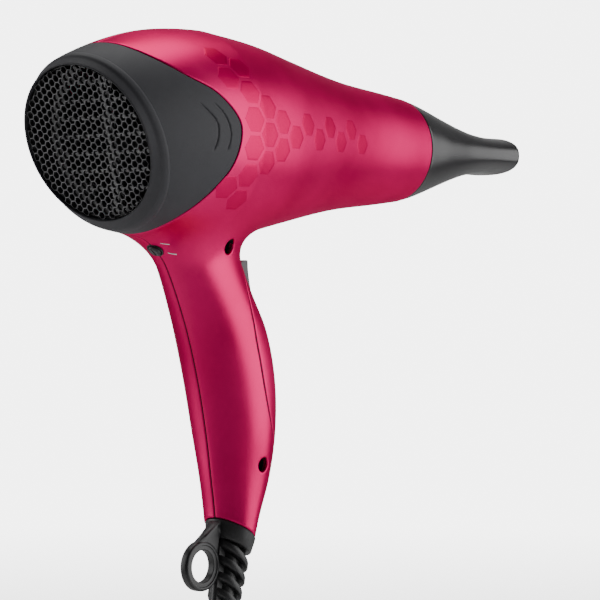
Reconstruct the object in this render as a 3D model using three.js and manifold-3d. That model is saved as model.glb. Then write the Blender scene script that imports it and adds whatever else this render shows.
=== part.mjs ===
// Hand-held hair dryer with a push-on concentrator nozzle, a hanging loop and a folded mains lead.
// Millimetres. +X runs along the barrel to the air outlet, +Z is up, the handle hangs below the barrel.
// The origin is the middle of the hand grip. The two body shells meet in the plane y = 0.
import * as THREE from 'three';
import { mergeVertices } from 'three/addons/utils/BufferGeometryUtils.js';
import Module from 'manifold-3d';

const wasm = await Module();
wasm.setup();

// Driving dimensions
const GAP = 0.3;                 // clearance between neighbouring pieces
const WALL = 2.2;                // moulded shell thickness
const AXIS_Z = 107;              // height of the barrel's axis
const BARREL_R = 45.1;           // largest barrel radius
const WIDEST_X = -28.5;          // where the barrel is widest
const TAIL_LENGTH = 93;          // half length of the ellipse behind the widest place
const SHELL_END = 118;           // front edge of the body shells
const NOZZLE_END = 192;          // nozzle lip
const NOZZLE_WALL = 1.7;
const SPIGOT_R = 19;             // outlet spigot that the nozzle slides onto
const SPIGOT_END = 123;
const REAR_CENTRE = [-86.8, 0, 101.3];
const REAR_TILT = THREE.MathUtils.degToRad(21);
const GRILLE_R = 33.2;
const GRILLE_THICK = 2.2;
const GRILLE_DEPTH = 1.4;        // how far the grille sits inside the rim
const HOLE_PITCH = 11.4;         // grille holes
const DUCT_R = 38;
const MOTOR_R = 14;
const SHAFT_R = 1;
const FAN = { radius: 35, blades: 6, pitch: 48, rear: -58, front: -44 };
const DUCT_VANES = 5;
const HEATER = { start: 0, end: 94, sleeve: 3.9, skin: 0.8, wire: 6.4, board: 8.8 };
// Rockers: pivot depth below the panel, reach of the ends from the pivot, and their windows
const ROCKER = { centre: [6, 0, 45], tilt: 21, width: 7, offset: 4.4, pivot: -1.5, reach: 10.6 };
const WINDOW = { halfHeight: 11.3, divider: 0.55, play: 0.35 };
const SELECTOR = { centre: [-47.6, 0, 57.4], tilt: 38, radius: 3.6 };
const SCREW_HOLES = [{ name: 'upper', x: -18.3, z: 59.5 }, { name: 'lower', x: 4.5, z: -34.2 }];
const SCREW = { recess: 3.2, floor: -6, head: 2.8, shank: 1.3, headTop: -8.6, headSeat: -6.3 };
const CLAMP = { z: -48.5, height: 5, posts: [-3.5, 8.5], top: -1.7 };
const BOTTOM = { rear: [-9.3, -57.5], front: [12.5, -68] };
const RELIEF = { top: [2.3, 0, -60], lean: 10, length: 50, collar: 10, pitch: 6.6 };
const LOOP = { centre: [-18.8, -77.2], outer: 10.8, inner: 7, thick: 4.5 };
const CORD_R = 3.5;
const HANK = { x: -13, top: -174, run: 58, outer: 32.2, front: -3.7, back: 31.7 };
const PLUG = { x: HANK.x + 28.5, y: 14, sleeve: 24, body: 34, radius: 10.5, pin: 2.4, pinGap: 19 };

// Handle sections from the foot up: height, middle x, half length along x, half width along y
const HANDLE = [
  [-72, 0.2, 8.6, 11.2], [-57, 1.7, 11, 13], [-40, 3.5, 15.4, 15.3], [-20, 3, 18.3, 18.3],
  [2, 0.2, 20.7, 19.4], [23, -5.6, 21.7, 18.9], [40, -13.6, 21.1, 17], [51, -19.2, 22.7, 16],
  [57, -22.8, 24.6, 16.7], [61, -24.5, 27.5, 18.5], [65, -26, 33, 24], [72, -27, 38, 30],
];
// Barrel ahead of the widest place: x, radius
const BARREL = [[-28.5, 45.1], [0, 42], [25, 37.2], [50, 32.3], [70, 28.9], [100, 25.2], [118, 22.9]];
// Nozzle outside: x, half width, half height
const NOZZLE = [
  [118, 22.9, 22.9], [124, 22.7, 21.4], [135, 22.1, 17.8], [147, 21.5, 13.7], [158, 21, 10.9],
  [170, 20.5, 9.3], [181, 20.2, 8.9], [192, 20, 9],
];
// Edge of the rear cover in side view: x, height above the axis
const COVER_EDGE = [
  [-88, 52], [-83, 37.5], [-78, 30], [-66.5, 21.5], [-54.5, 15.2], [-45.3, 6], [-43, -1.5],
  [-45.5, -14.5], [-52.5, -26.5], [-59.5, -37], [-62, -42.5], [-64, -52],
];
// Edge of the handle's front panel in side view: x, z
const PANEL_EDGE = [
  [6, 62], [-1, 56], [-5, 47], [-5.3, 34], [-4.1, 21.6], [-1.6, 10.6], [1.5, -1.3], [5.7, -13],
  [11, -23], [20, -32], [30, -38],
];

// Colours
const PINK = paint(0xc81e5c, 0.36, 0.45);
const CHARCOAL = paint(0x3a3a3e, 0.62, 0);
const GLOSS = paint(0x1c1b1d, 0.2, 0);
const RUBBER = paint(0x232325, 0.75, 0);
const GREY = paint(0x77777a, 0.5, 0);
const MICA = paint(0xb9a98c, 0.55, 0);
const STEEL = paint(0xb4b6ba, 0.3, 1);
const BRASS = paint(0xc9a552, 0.3, 1);
const WIRE_BROWN = paint(0x5a3320, 0.5, 0);
const WIRE_BLUE = paint(0x24508c, 0.5, 0);

function paint(color, roughness, metalness) {
  return new THREE.MeshStandardMaterial({ color, roughness, metalness });
}

// ---- solids ----

// Merges a three.js geometry into a closed manifold solid, faces out.
function solid(geometry) {
  for (const name of ['normal', 'uv']) geometry.deleteAttribute(name);
  const merged = mergeVertices(geometry, 1e-4);
  const corner = merged.index.array;
  const spots = merged.attributes.position;
  const a = new THREE.Vector3();
  const b = new THREE.Vector3();
  const c = new THREE.Vector3();
  const triangles = [];
  let volume = 0;
  for (let i = 0; i < corner.length; i += 3) {
    const [p, q, r] = [corner[i], corner[i + 1], corner[i + 2]];
    if (p === q || q === r || r === p) continue;
    triangles.push(p, q, r);
    a.fromBufferAttribute(spots, p);
    b.fromBufferAttribute(spots, q);
    c.fromBufferAttribute(spots, r);
    volume += a.dot(b.cross(c));
  }
  if (volume < 0) triangles.reverse();
  return new wasm.Manifold(new wasm.Mesh({
    numProp: 3,
    vertProperties: Float32Array.from(spots.array),
    triVerts: Uint32Array.from(triangles),
  }));
}

function geometryOf(manifold) {
  const mesh = manifold.getMesh();
  const geometry = new THREE.BufferGeometry();
  geometry.setAttribute('position', new THREE.BufferAttribute(Float32Array.from(mesh.vertProperties), 3));
  geometry.setIndex(new THREE.BufferAttribute(Uint32Array.from(mesh.triVerts), 1));
  geometry.computeVertexNormals();
  return geometry;
}

// Smooth curve through rows of [key, value, value...]: returns the values at a key.
function through(rows) {
  const slope = rows.map((row, i) => {
    const before = rows[Math.max(i - 1, 0)];
    const after = rows[Math.min(i + 1, rows.length - 1)];
    return row.map((_, k) => (after[k] - before[k]) / (after[0] - before[0]));
  });
  return (key) => {
    let i = rows.findIndex((row) => row[0] > key) - 1;
    if (i < 0) i = key < rows[0][0] ? 0 : rows.length - 2;
    const span = rows[i + 1][0] - rows[i][0];
    const t = THREE.MathUtils.clamp((key - rows[i][0]) / span, 0, 1);
    const h = [2 * t ** 3 - 3 * t * t + 1, t ** 3 - 2 * t * t + t, 3 * t * t - 2 * t ** 3, t ** 3 - t * t];
    return rows[i].slice(1).map((value, k) => h[0] * value + h[1] * span * slope[i][k + 1]
      + h[2] * rows[i + 1][k + 1] + h[3] * span * slope[i + 1][k + 1]);
  };
}

// A closed body through elliptical rings, each with a centre and two half axes.
function loft(rings, sides) {
  const geometry = new THREE.CylinderGeometry(1, 1, 1, sides, rings.length - 1);
  const spots = geometry.attributes.position;
  for (let i = 0; i < spots.count; i++) {
    const ring = rings[Math.round((0.5 - spots.getY(i)) * (rings.length - 1))];
    const spot = ring.centre.clone();
    spot.addScaledVector(ring.first, spots.getX(i)).addScaledVector(ring.second, spots.getZ(i));
    spots.setXYZ(i, spot.x, spot.y, spot.z);
  }
  return geometry;
}

// A body turned about the barrel's axis from [x, radius] points that close on themselves.
function turned(points, sides) {
  const profile = points.map(([x, radius]) => new THREE.Vector2(radius, x));
  profile.push(profile[0].clone());
  return new THREE.LatheGeometry(profile, sides).rotateZ(-Math.PI / 2).translate(0, 0, AXIS_Z);
}

// A flat outline of [x, z] points, given thickness from one y to another.
function slab(outline, from, to) {
  const shape = new THREE.Shape(outline.map(([x, z]) => new THREE.Vector2(x, z)));
  const options = { depth: to - from, bevelEnabled: false };
  return new THREE.ExtrudeGeometry(shape, options).rotateX(Math.PI / 2).translate(0, to, 0);
}

function boxBetween(low, high) {
  const size = high.map((value, k) => value - low[k]);
  const middle = high.map((value, k) => (value + low[k]) / 2);
  return new THREE.BoxGeometry(...size).translate(...middle);
}

function rodAlongX(radius, from, to, sides = 20) {
  return new THREE.CylinderGeometry(radius, radius, to - from, sides)
    .rotateZ(Math.PI / 2).translate((from + to) / 2, 0, AXIS_Z);
}

function rodAlongY(radius, x, z, from, to, sides = 16) {
  return new THREE.CylinderGeometry(radius, radius, to - from, sides).translate(x, (from + to) / 2, z);
}

// A round cord or wire of straight-sided section along a curve.
function cordAlong(points, radius, steps, sides) {
  const curve = new THREE.CatmullRomCurve3(points.map((p) => new THREE.Vector3(...p)), false, 'centripetal');
  const ring = [];
  for (let i = 0; i < sides; i++) {
    const turn = 2 * Math.PI * i / sides;
    ring.push(new THREE.Vector2(radius * Math.cos(turn), radius * Math.sin(turn)));
  }
  return new THREE.ExtrudeGeometry(new THREE.Shape(ring), { steps, extrudePath: curve, bevelEnabled: false });
}

// ---- the smooth outer form ----

const barrelFront = through(BARREL);
const handleAt = through(HANDLE);
const nozzleAt = through(NOZZLE);

function barrelRadius(x) {
  if (x > WIDEST_X) return barrelFront(x)[0];
  return BARREL_R * Math.sqrt(1 - ((x - WIDEST_X) / TAIL_LENGTH) ** 2);
}

function span(from, to, count) {
  return Array.from({ length: count + 1 }, (_, i) => from + (to - from) * i / count);
}

function barrelBody(inset, from, to, sides = 32) {
  const places = span(from, to, 13);
  const profile = places.map((x) => [x, barrelRadius(x) - inset]);
  return solid(turned([[from, 0], ...profile, [to, 0]], sides));
}

function handleBody(inset, from, to, sides = 24) {
  const rings = span(to, from, 11).map((z) => {
    const [x, halfLength, halfWidth] = handleAt(z);
    return {
      centre: new THREE.Vector3(x, 0, z),
      first: new THREE.Vector3(halfLength - inset, 0, 0),
      second: new THREE.Vector3(0, halfWidth - inset, 0),
    };
  });
  return solid(loft(rings, sides));
}

// Everything in front of, above or behind an edge curve, as a slab across the dryer.
function regionBeside(edge, farX, shift, lift = 0) {
  const line = new THREE.SplineCurve(edge.map(([x, z]) => new THREE.Vector2(x + shift, z + lift)));
  const outline = line.getPoints(18).map((point) => [point.x, point.y]);
  const first = outline[0];
  const last = outline[outline.length - 1];
  return solid(slab([...outline, [farX, last[1]], [farX, first[1]]], -70, 70));
}

const coverRegion = (shift) => regionBeside(COVER_EDGE, -140, shift, AXIS_Z);
const panelRegion = (shift) => regionBeside(PANEL_EDGE, 60, shift);

// Moves a geometry made around the origin, with its outward side along +X, onto the rear face.
function ontoRear(geometry) {
  return geometry.rotateY(Math.PI - REAR_TILT).translate(...REAR_CENTRE);
}

// Moves a geometry made around the origin, outward side along +X, onto the rocker's place.
function ontoPanel(geometry) {
  return geometry.rotateY(-THREE.MathUtils.degToRad(ROCKER.tilt)).translate(...ROCKER.centre);
}

// Moves a geometry made around the origin, outward side along -Z, onto the selector's place.
function ontoSelector(geometry) {
  return geometry.rotateY(THREE.MathUtils.degToRad(SELECTOR.tilt)).translate(...SELECTOR.centre);
}

// The space below the handle's slanted foot.
function belowFoot(drop) {
  const [rear, front] = [BOTTOM.rear, BOTTOM.front];
  const slope = (front[1] - rear[1]) / (front[0] - rear[0]);
  const heightAt = (x) => rear[1] - drop + slope * (x - rear[0]);
  return solid(slab([[-60, heightAt(-60)], [60, heightAt(60)], [60, -150], [-60, -150]], -40, 40));
}

// ---- housing ----

function screwHole(spot) {
  return solid(rodAlongY(SCREW.recess, spot.x, spot.z, -40, SCREW.floor));
}

function shellSolid() {
  const outside = barrelBody(0, -99, SHELL_END).add(handleBody(0, -72, 72));
  const inside = barrelBody(WALL, -99.5, SHELL_END + 1, 24).add(handleBody(WALL, -73, 72, 18));
  return { outside, inside };
}

function bodyShell(side) {
  const { outside, inside } = shellSolid();
  const half = side < 0 ? boxBetween([-130, -60, -90], [130, -GAP / 2, 170])
    : boxBetween([-130, GAP / 2, -90], [130, 60, 170]);
  let shell = outside.subtract(inside);
  for (const spot of SCREW_HOLES) {
    const boss = side < 0 ? rodAlongY(4.4, spot.x, spot.z, -19, -4) : rodAlongY(4.2, spot.x, spot.z, GAP, 19);
    shell = shell.add(solid(boss).intersect(outside));
    shell = shell.subtract(side < 0 ? screwHole(spot) : solid(rodAlongY(1.5, spot.x, spot.z, -1, 10)));
    if (side < 0) shell = shell.subtract(solid(rodAlongY(1.6, spot.x, spot.z, -10, 0)));
  }
  if (side < 0) shell = addClampPosts(shell, outside);
  shell = shell.subtract(coverRegion(GAP)).subtract(panelRegion(0)).subtract(belowFoot(0));
  shell = shell.subtract(solid(ontoSelector(new THREE.CylinderGeometry(
    SELECTOR.radius + 0.6, SELECTOR.radius + 0.6, 16, 20).rotateX(Math.PI / 2))));
  return shell.intersect(solid(half));
}

function addClampPosts(shell, outside) {
  let result = shell;
  for (const x of CLAMP.posts) {
    result = result.add(solid(rodAlongY(2.3, x, CLAMP.z, -18, CLAMP.top - GAP)).intersect(outside));
    result = result.subtract(solid(rodAlongY(1, x, CLAMP.z, -10, 0)));
  }
  return result;
}

function frontPanel() {
  const { outside, inside } = shellSolid();
  let panel = outside.subtract(inside).intersect(panelRegion(GAP));
  for (const side of [-1, 1]) {
    const near = WINDOW.divider;
    const far = ROCKER.offset + ROCKER.width / 2 + WINDOW.play;
    const low = side < 0 ? -far : near;
    const high = side < 0 ? -near : far;
    const window = boxBetween([-12, low, -WINDOW.halfHeight], [12, high, WINDOW.halfHeight]);
    panel = panel.subtract(solid(ontoPanel(window)));
  }
  return panel;
}

function rearCover() {
  const rimDepth = 4;
  const beyond = solid(ontoRear(boxBetween([0, -80, -80], [60, 80, 80])));
  const rim = solid(ontoRear(boxBetween([-rimDepth, -80, -80], [60, 80, 80])));
  const bore = solid(ontoRear(new THREE.CylinderGeometry(GRILLE_R + 0.4, GRILLE_R + 0.4, 30, 32)
    .rotateZ(Math.PI / 2)));
  const outside = barrelBody(0, -101.5, 0).intersect(coverRegion(0)).subtract(beyond);
  return outside.subtract(barrelBody(WALL, -101, 1, 24).subtract(rim)).subtract(bore);
}

function rearGrille() {
  const disc = new THREE.Shape().absarc(0, 0, GRILLE_R, 0, 2 * Math.PI);
  const reach = GRILLE_R - HOLE_PITCH * 0.55;
  for (let row = -3; row <= 3; row++) {
    for (let column = -4; column <= 4; column++) {
      const across = (column + (row % 2 ? 0.5 : 0)) * HOLE_PITCH;
      const up = row * HOLE_PITCH * Math.sqrt(3) / 2;
      if (Math.hypot(across, up) < reach) disc.holes.push(hexagon(across, up, HOLE_PITCH * 0.5));
    }
  }
  const options = { depth: GRILLE_THICK, bevelEnabled: false, curveSegments: 16 };
  const plate = new THREE.ExtrudeGeometry(disc, options).rotateY(Math.PI / 2);
  return solid(ontoRear(plate.translate(-GRILLE_DEPTH - GRILLE_THICK, 0, 0)));
}

function hexagon(x, y, radius) {
  const corners = span(0, 300, 5).map((turn) => THREE.MathUtils.degToRad(turn + 30));
  return new THREE.Path(corners.map((turn) => new THREE.Vector2(
    x + radius * Math.cos(turn), y + radius * Math.sin(turn))));
}

// Frame behind the grille: a ring with one upright and cross bars, on four posts from the duct.
function innerGuard() {
  const [radius, thick, lean, x] = [33.5, 2, 10, -75];
  const place = (geometry) => geometry.rotateY(-THREE.MathUtils.degToRad(lean)).translate(x, 0, AXIS_Z - 2);
  const ringShape = new THREE.Shape().absarc(0, 0, radius, 0, 2 * Math.PI);
  ringShape.holes.push(new THREE.Path().absarc(0, 0, radius - 3, 0, 2 * Math.PI, true));
  const options = { depth: thick, bevelEnabled: false, curveSegments: 12 };
  let guard = solid(place(new THREE.ExtrudeGeometry(ringShape, options).rotateY(Math.PI / 2)));
  const bars = span(-22.2, 22.2, 6).map((z) => {
    const half = Math.sqrt((radius - 1.5) ** 2 - z * z);
    return boxBetween([0.2, -half, z - 0.7], [thick - 0.2, half, z + 0.7]);
  });
  bars.push(boxBetween([-0.6, -1.6, 1.5 - radius], [thick + 0.6, 1.6, radius - 1.5]));
  for (const bar of bars) guard = guard.add(solid(place(bar)));
  for (const turn of [45, 135, 225, 315]) {
    const angle = THREE.MathUtils.degToRad(turn);
    const post = boxBetween([x - 4, -1.8, 30.6], [-60.6, 1.8, 34.4]);
    post.rotateX(angle).translate(0, 0, AXIS_Z);
    const front = solid(place(boxBetween([0.2, -60, -60], [60, 60, 60])));
    guard = guard.add(solid(post).intersect(front));
  }
  return guard;
}

function outletRing() {
  const [flangeFrom, flangeTo, inner] = [103, 105.5, 17.4];
  const tube = solid(turned([[100, inner], [100, SPIGOT_R], [flangeFrom, SPIGOT_R], [flangeFrom, 22.2],
    [flangeTo, 22.2], [flangeTo, SPIGOT_R], [SPIGOT_END, SPIGOT_R], [SPIGOT_END, inner]], 24));
  const spoke = (turn) => solid(boxBetween([100, -inner - 0.8, -0.9], [103, inner + 0.8, 0.9])
    .rotateX(THREE.MathUtils.degToRad(turn)).translate(0, 0, AXIS_Z));
  const hub = solid(turned([[100, 7], [100, 8.6], [103, 8.6], [103, 7]], 16));
  return [0, 60, 120].reduce((whole, turn) => whole.add(spoke(turn)), tube.add(hub));
}

function nozzle() {
  const ringAt = (x, halfWidth, halfHeight) => ({
    centre: new THREE.Vector3(x, 0, AXIS_Z),
    first: new THREE.Vector3(0, halfWidth, 0),
    second: new THREE.Vector3(0, 0, halfHeight),
  });
  const start = SHELL_END + 0.35;
  const outside = span(start, NOZZLE_END, 9).map((x) => ringAt(x, ...nozzleAt(x)));
  const bore = SPIGOT_R + 0.4;
  const inside = span(SPIGOT_END + 8, NOZZLE_END + 1, 7).map((x) => {
    const [halfWidth, halfHeight] = nozzleAt(Math.min(x, NOZZLE_END));
    return ringAt(x, Math.min(halfWidth - NOZZLE_WALL, bore), halfHeight - NOZZLE_WALL);
  });
  inside.unshift(ringAt(start - 1, bore, bore), ringAt(SPIGOT_END + 0.5, bore, bore));
  return solid(loft(outside, 32)).subtract(solid(loft(inside, 24)));
}

// ---- air path and heater ----

function fanDuct() {
  const [rear, front] = [-60, -8];
  const bore = DUCT_R - 1.6;
  let duct = solid(turned([[rear, bore], [rear, DUCT_R], [front, DUCT_R], [front, bore]], 28));
  const sleeve = solid(turned([[-41, MOTOR_R + 0.4], [-41, MOTOR_R + 2], [-16, MOTOR_R + 2],
    [-16, MOTOR_R + 0.4]], 20));
  duct = duct.add(sleeve);
  for (let i = 0; i < DUCT_VANES; i++) {
    const vane = boxBetween([-38, -0.8, MOTOR_R + 1], [-18, 0.8, DUCT_R - 0.8]);
    duct = duct.add(solid(vane.rotateX(2 * Math.PI * i / DUCT_VANES).translate(0, 0, AXIS_Z)));
  }
  return duct;
}

function impeller() {
  let fan = solid(turned([[-57, 0], [-57, 5], [-55, 8], [-45, 9], [-45, 0]], 16));
  const rim = solid(rodAlongX(FAN.radius, FAN.rear, FAN.front, 28));
  for (let i = 0; i < FAN.blades; i++) {
    const blade = boxBetween([-8, -0.7, 5], [8, 0.7, FAN.radius + 2]);
    blade.rotateZ(THREE.MathUtils.degToRad(FAN.pitch));
    blade.translate(-51, 0, 0).rotateX(2 * Math.PI * i / FAN.blades).translate(0, 0, AXIS_Z);
    fan = fan.add(solid(blade).intersect(rim));
  }
  return fan.subtract(solid(rodAlongX(SHAFT_R + 0.25, -60, -40, 12)));
}

function motorCan() {
  const bore = SHAFT_R + 0.3;
  return solid(turned([[-42, bore], [-42, MOTOR_R - 1], [-41, MOTOR_R], [-14, MOTOR_R], [-14, bore]], 18));
}

function motorEndCap() {
  const bore = SHAFT_R + 0.3;
  return solid(turned([[-13.6, bore], [-13.6, MOTOR_R - 1], [-11, MOTOR_R - 1], [-9, 6], [-9, bore]], 16));
}

function heaterSleeve() {
  const places = span(HEATER.start, HEATER.end, 5);
  const outside = places.map((x) => [x, barrelRadius(x) - HEATER.sleeve]);
  const inside = places.map((x) => [x, barrelRadius(x) - HEATER.sleeve - HEATER.skin]).reverse();
  return solid(turned([...outside, ...inside], 24));
}

// One of two crossed boards; each has a slot for the other over half its length.
function micaBoard(upright) {
  const places = span(HEATER.start + 8, HEATER.end - 3, 6);
  const edge = places.map((x) => [x, barrelRadius(x) - HEATER.board]);
  const back = edge.map(([x, half]) => [x, -half]).reverse();
  const middle = (HEATER.start + HEATER.end) / 2;
  let board = solid(slab([...edge, ...back], -0.5, 0.5));
  const slot = upright ? boxBetween([middle, -2, -0.8], [HEATER.end, 2, 0.8])
    : boxBetween([0, -2, -0.8], [middle + 0.3, 2, 0.8]);
  board = board.subtract(solid(slot));
  return upright ? board.translate([0, 0, AXIS_Z]) : board.rotate([90, 0, 0]).translate([0, 0, AXIS_Z]);
}

function heatingCoil() {
  const turns = 5;
  const points = span(0, turns, turns * 12).map((turn) => {
    const x = HEATER.start + 16 + turn * 13.5;
    const radius = barrelRadius(x) - HEATER.wire;
    const angle = 2 * Math.PI * turn;
    return [x, radius * Math.sin(angle), AXIS_Z + radius * Math.cos(angle)];
  });
  return solid(cordAlong(points, 0.7, turns * 12, 6));
}

// ---- switches ----

// Side view of a rocker: [out of the panel, up the panel], its ends on arcs about the pivot.
function rocker(side) {
  const arc = (turn) => [ROCKER.pivot + ROCKER.reach * Math.sin(turn), ROCKER.reach * Math.cos(turn)];
  const upper = span(0.46, -0.14, 4).map(arc);
  const lower = span(Math.PI + 0.14, Math.PI - 0.11, 4).map(arc);
  const profile = [...upper, [-4.8, 6], [-4.8, -6], ...lower, [0.9, 0]];
  const across = side * ROCKER.offset;
  const from = across - ROCKER.width / 2;
  return solid(ontoPanel(slab(profile, from, from + ROCKER.width)));
}

function switchBlock() {
  const block = solid(ontoPanel(boxBetween([-20, -8.6, -10.5], [-7.6, 8.6, 10.5])));
  const tabs = solid(ontoPanel(boxBetween([-21.6, -2, -9], [-19, 2, 9])));
  return block.add(tabs);
}

function voltageSelector() {
  const knob = new THREE.CylinderGeometry(SELECTOR.radius, SELECTOR.radius, 3, 20).rotateX(Math.PI / 2);
  const stem = new THREE.CylinderGeometry(1.6, 1.6, 5, 12).rotateX(Math.PI / 2).translate(0, 0, 3);
  const slot = boxBetween([-2.8, -0.5, -4], [2.8, 0.5, -0.5]);
  return solid(ontoSelector(knob.translate(0, 0, 0.6))).add(solid(ontoSelector(stem)))
    .subtract(solid(ontoSelector(slot)));
}

function voltageSwitchBody() {
  const body = new THREE.CylinderGeometry(4.4, 4.4, 5, 16).rotateX(Math.PI / 2).translate(0, 0, 6.4);
  const bore = new THREE.CylinderGeometry(1.9, 1.9, 8, 12).rotateX(Math.PI / 2).translate(0, 0, 5);
  return solid(ontoSelector(body)).subtract(solid(ontoSelector(bore)));
}

// ---- foot of the handle ----

function clampBar() {
  const [first, last] = CLAMP.posts;
  const low = [first - 2.6, CLAMP.top, CLAMP.z - CLAMP.height / 2];
  const bar = solid(boxBetween(low, [last + 2.6, CLAMP.top + 2.4, CLAMP.z + CLAMP.height / 2]));
  return CLAMP.posts.reduce((rest, x) => rest.subtract(solid(rodAlongY(1.1, x, CLAMP.z, -6, 4))), bar);
}

function clampScrew(x) {
  const seat = CLAMP.top + 2.4 + 0.2;
  const shank = solid(rodAlongY(0.8, x, CLAMP.z, -8, seat + 0.5));
  return shank.add(solid(rodAlongY(2, x, CLAMP.z, seat, seat + 1.4)));
}

function shellScrew(spot) {
  const shank = solid(rodAlongY(SCREW.shank, spot.x, spot.z, SCREW.headSeat - 0.7, 9));
  return shank.add(solid(rodAlongY(SCREW.head, spot.x, spot.z, SCREW.headTop, SCREW.headSeat)));
}

// Rings stacked along the relief's leaning axis: distance, half length, half width.
function alongRelief(rows, sides) {
  const lean = THREE.MathUtils.degToRad(RELIEF.lean);
  const down = new THREE.Vector3(-Math.sin(lean), 0, -Math.cos(lean));
  const rings = rows.map(([distance, halfLength, halfWidth]) => ({
    centre: new THREE.Vector3(...RELIEF.top).addScaledVector(down, distance),
    first: new THREE.Vector3(Math.cos(lean), 0, -Math.sin(lean)).multiplyScalar(halfLength),
    second: new THREE.Vector3(0, halfWidth, 0),
  }));
  return solid(loft(rings, sides));
}

function strainRelief() {
  const plug = alongRelief([[-6, 6.4, 9.6], [3, 6.4, 9.6]], 16);
  let relief = alongRelief([[-8, 10.5, 12.6], [0, 10.3, 12.3], [RELIEF.collar, 9.6, 11.4]], 24)
    .intersect(belowFoot(GAP)).add(plug);
  relief = relief.add(alongRelief([[RELIEF.collar - 1, 6, 6.6], [RELIEF.length, 4.4, 4.4]], 12));
  const bands = Math.floor((RELIEF.length - RELIEF.collar) / RELIEF.pitch);
  for (let i = 0; i < bands; i++) {
    const from = RELIEF.collar + 2.4 + i * RELIEF.pitch;
    const size = THREE.MathUtils.lerp(8.6, 6, i / (bands - 1));
    relief = relief.add(alongRelief([[from, size, size], [from + 4, size - 0.3, size - 0.3]], 12));
  }
  const slot = LOOP.thick / 2 + GAP;
  const clear = LOOP.centre[0] + LOOP.outer + GAP;
  relief = relief.subtract(solid(boxBetween([-16, -slot, -90], [clear, slot, -60])));
  return relief.subtract(solid(boxBetween([-16, -5.4, -72], [-4.3, 5.4, -50])));
}

function hangingLoop() {
  const [x, z] = LOOP.centre;
  const half = LOOP.thick / 2;
  const ring = solid(rodAlongY(LOOP.outer, x, z, -half, half, 40));
  const strap = solid(slab([[-10.4, -58.9], [-8.4, -59.6], [-8.4, -77], [-18, -78], [-29.4, -75],
    [-24, -67.6], [-17, -63.2]], -half + 0.4, half - 0.4)).intersect(belowFoot(GAP));
  const root = solid(slab([[-9.3, -57], [-4.7, -58], [-4.7, -66.5], [-8, -68.5], [-10, -66]], -5, 5))
    .intersect(belowFoot(GAP));
  const tongue = solid(boxBetween([-6.2, -2.6, -61], [-4.8, 2.6, -53]));
  return ring.add(strap).add(root).add(tongue).subtract(solid(rodAlongY(LOOP.inner, x, z, -9, 9, 32)));
}

// ---- wiring and lead ----

const LIVE_ROUTE = [[-3.6, -3.2, 27.6], [-5.6, -3.2, 12], [-6.4, -3.2, -8], [-6.4, -3.2, -30],
  [-3.5, -3.2, -41], [0.9, -3.2, -47], [1, -3.2, -52.6]];
const NEUTRAL_ROUTE = [[0.6, -3.2, 26.4], [-2.2, -3.2, 12], [-2.9, -3.2, -8], [-2.9, -3.2, -30],
  [0.6, -3.2, -40.5], [4, -3.2, -46], [4, -3.2, -51.6]];

const HANK_TOP = HANK.top + HANK.outer;
const LEAD_ROUTE = [[-6.44, 0, -109.6], [-7.7, 0, -116], [-9.4, 0, -123], [-11.2, 0, -130],
  [-12.5, 0, -136.5], [HANK.x, 0, HANK_TOP + GAP]];

function stadium(x, top, run, radius) {
  const fold = (z) => (turn) => [x + radius * Math.cos(turn), z + radius * Math.sin(turn)];
  const upper = span(0, Math.PI, 14).map(fold(top));
  const lower = span(Math.PI, 2 * Math.PI, 14).map(fold(top - run));
  return [...upper, ...lower];
}

function cordHank() {
  const bundle = solid(slab(stadium(HANK.x, HANK.top, HANK.run, HANK.outer), HANK.front, HANK.back));
  const tail = solid(boxBetween([PLUG.x - 3.7, PLUG.y - 3.7, HANK.top - HANK.run - PLUG.sleeve],
    [PLUG.x + 3.7, PLUG.y + 3.7, HANK.top - HANK.run]));
  return bundle.add(tail);
}

function cordTie() {
  const middle = HANK.top - HANK.run / 2;
  const [width, deep] = [HANK.outer + GAP, [HANK.front - GAP, HANK.back + GAP]];
  const outside = boxBetween([HANK.x - width - 1.4, deep[0] - 1.4, middle - 8],
    [HANK.x + width + 1.4, deep[1] + 1.4, middle + 8]);
  const inside = boxBetween([HANK.x - width, deep[0], middle - 9], [HANK.x + width, deep[1], middle + 9]);
  return solid(outside).subtract(solid(inside));
}

const PLUG_TOP = HANK.top - HANK.run - PLUG.sleeve - GAP;

function roundDown(rows, sides) {
  const profile = rows.map(([radius, drop]) => new THREE.Vector2(radius, -drop));
  return new THREE.LatheGeometry(profile, sides).rotateX(Math.PI / 2).translate(PLUG.x, PLUG.y, PLUG_TOP);
}

function plugBody() {
  const length = 10 + PLUG.body;
  const body = solid(roundDown([[0, 0], [4.4, 0], [5.4, 10], [8, 14], [PLUG.radius, 22],
    [PLUG.radius + 0.8, length - 4], [PLUG.radius + 2.4, length - 3], [PLUG.radius + 2.4, length],
    [0, length]], 20));
  return [-1, 1].reduce((rest, side) => rest.subtract(solid(pinHole(side, length))), body);
}

function pinHole(side, length) {
  const bottom = PLUG_TOP - length;
  return new THREE.CylinderGeometry(PLUG.pin + 0.3, PLUG.pin + 0.3, 6, 16).rotateX(Math.PI / 2)
    .translate(PLUG.x + side * PLUG.pinGap / 2, PLUG.y, bottom + 2);
}

function plugPin(side) {
  const root = PLUG_TOP - 10 - PLUG.body + 4.6;
  const profile = [[0, 0], [PLUG.pin, 0], [PLUG.pin, 22], [PLUG.pin - 1.4, 24], [0, 24]];
  return new THREE.LatheGeometry(profile.map(([radius, drop]) => new THREE.Vector2(radius, -drop)), 16)
    .rotateX(Math.PI / 2).translate(PLUG.x + side * PLUG.pinGap / 2, PLUG.y, root);
}

// ---- the assembly ----

const dryer = new THREE.Group();

function add(name, shape, material) {
  const geometry = geometryOf(shape.isBufferGeometry ? solid(shape) : shape);
  const mesh = new THREE.Mesh(geometry, material);
  mesh.name = name;
  dryer.add(mesh);
}

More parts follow.
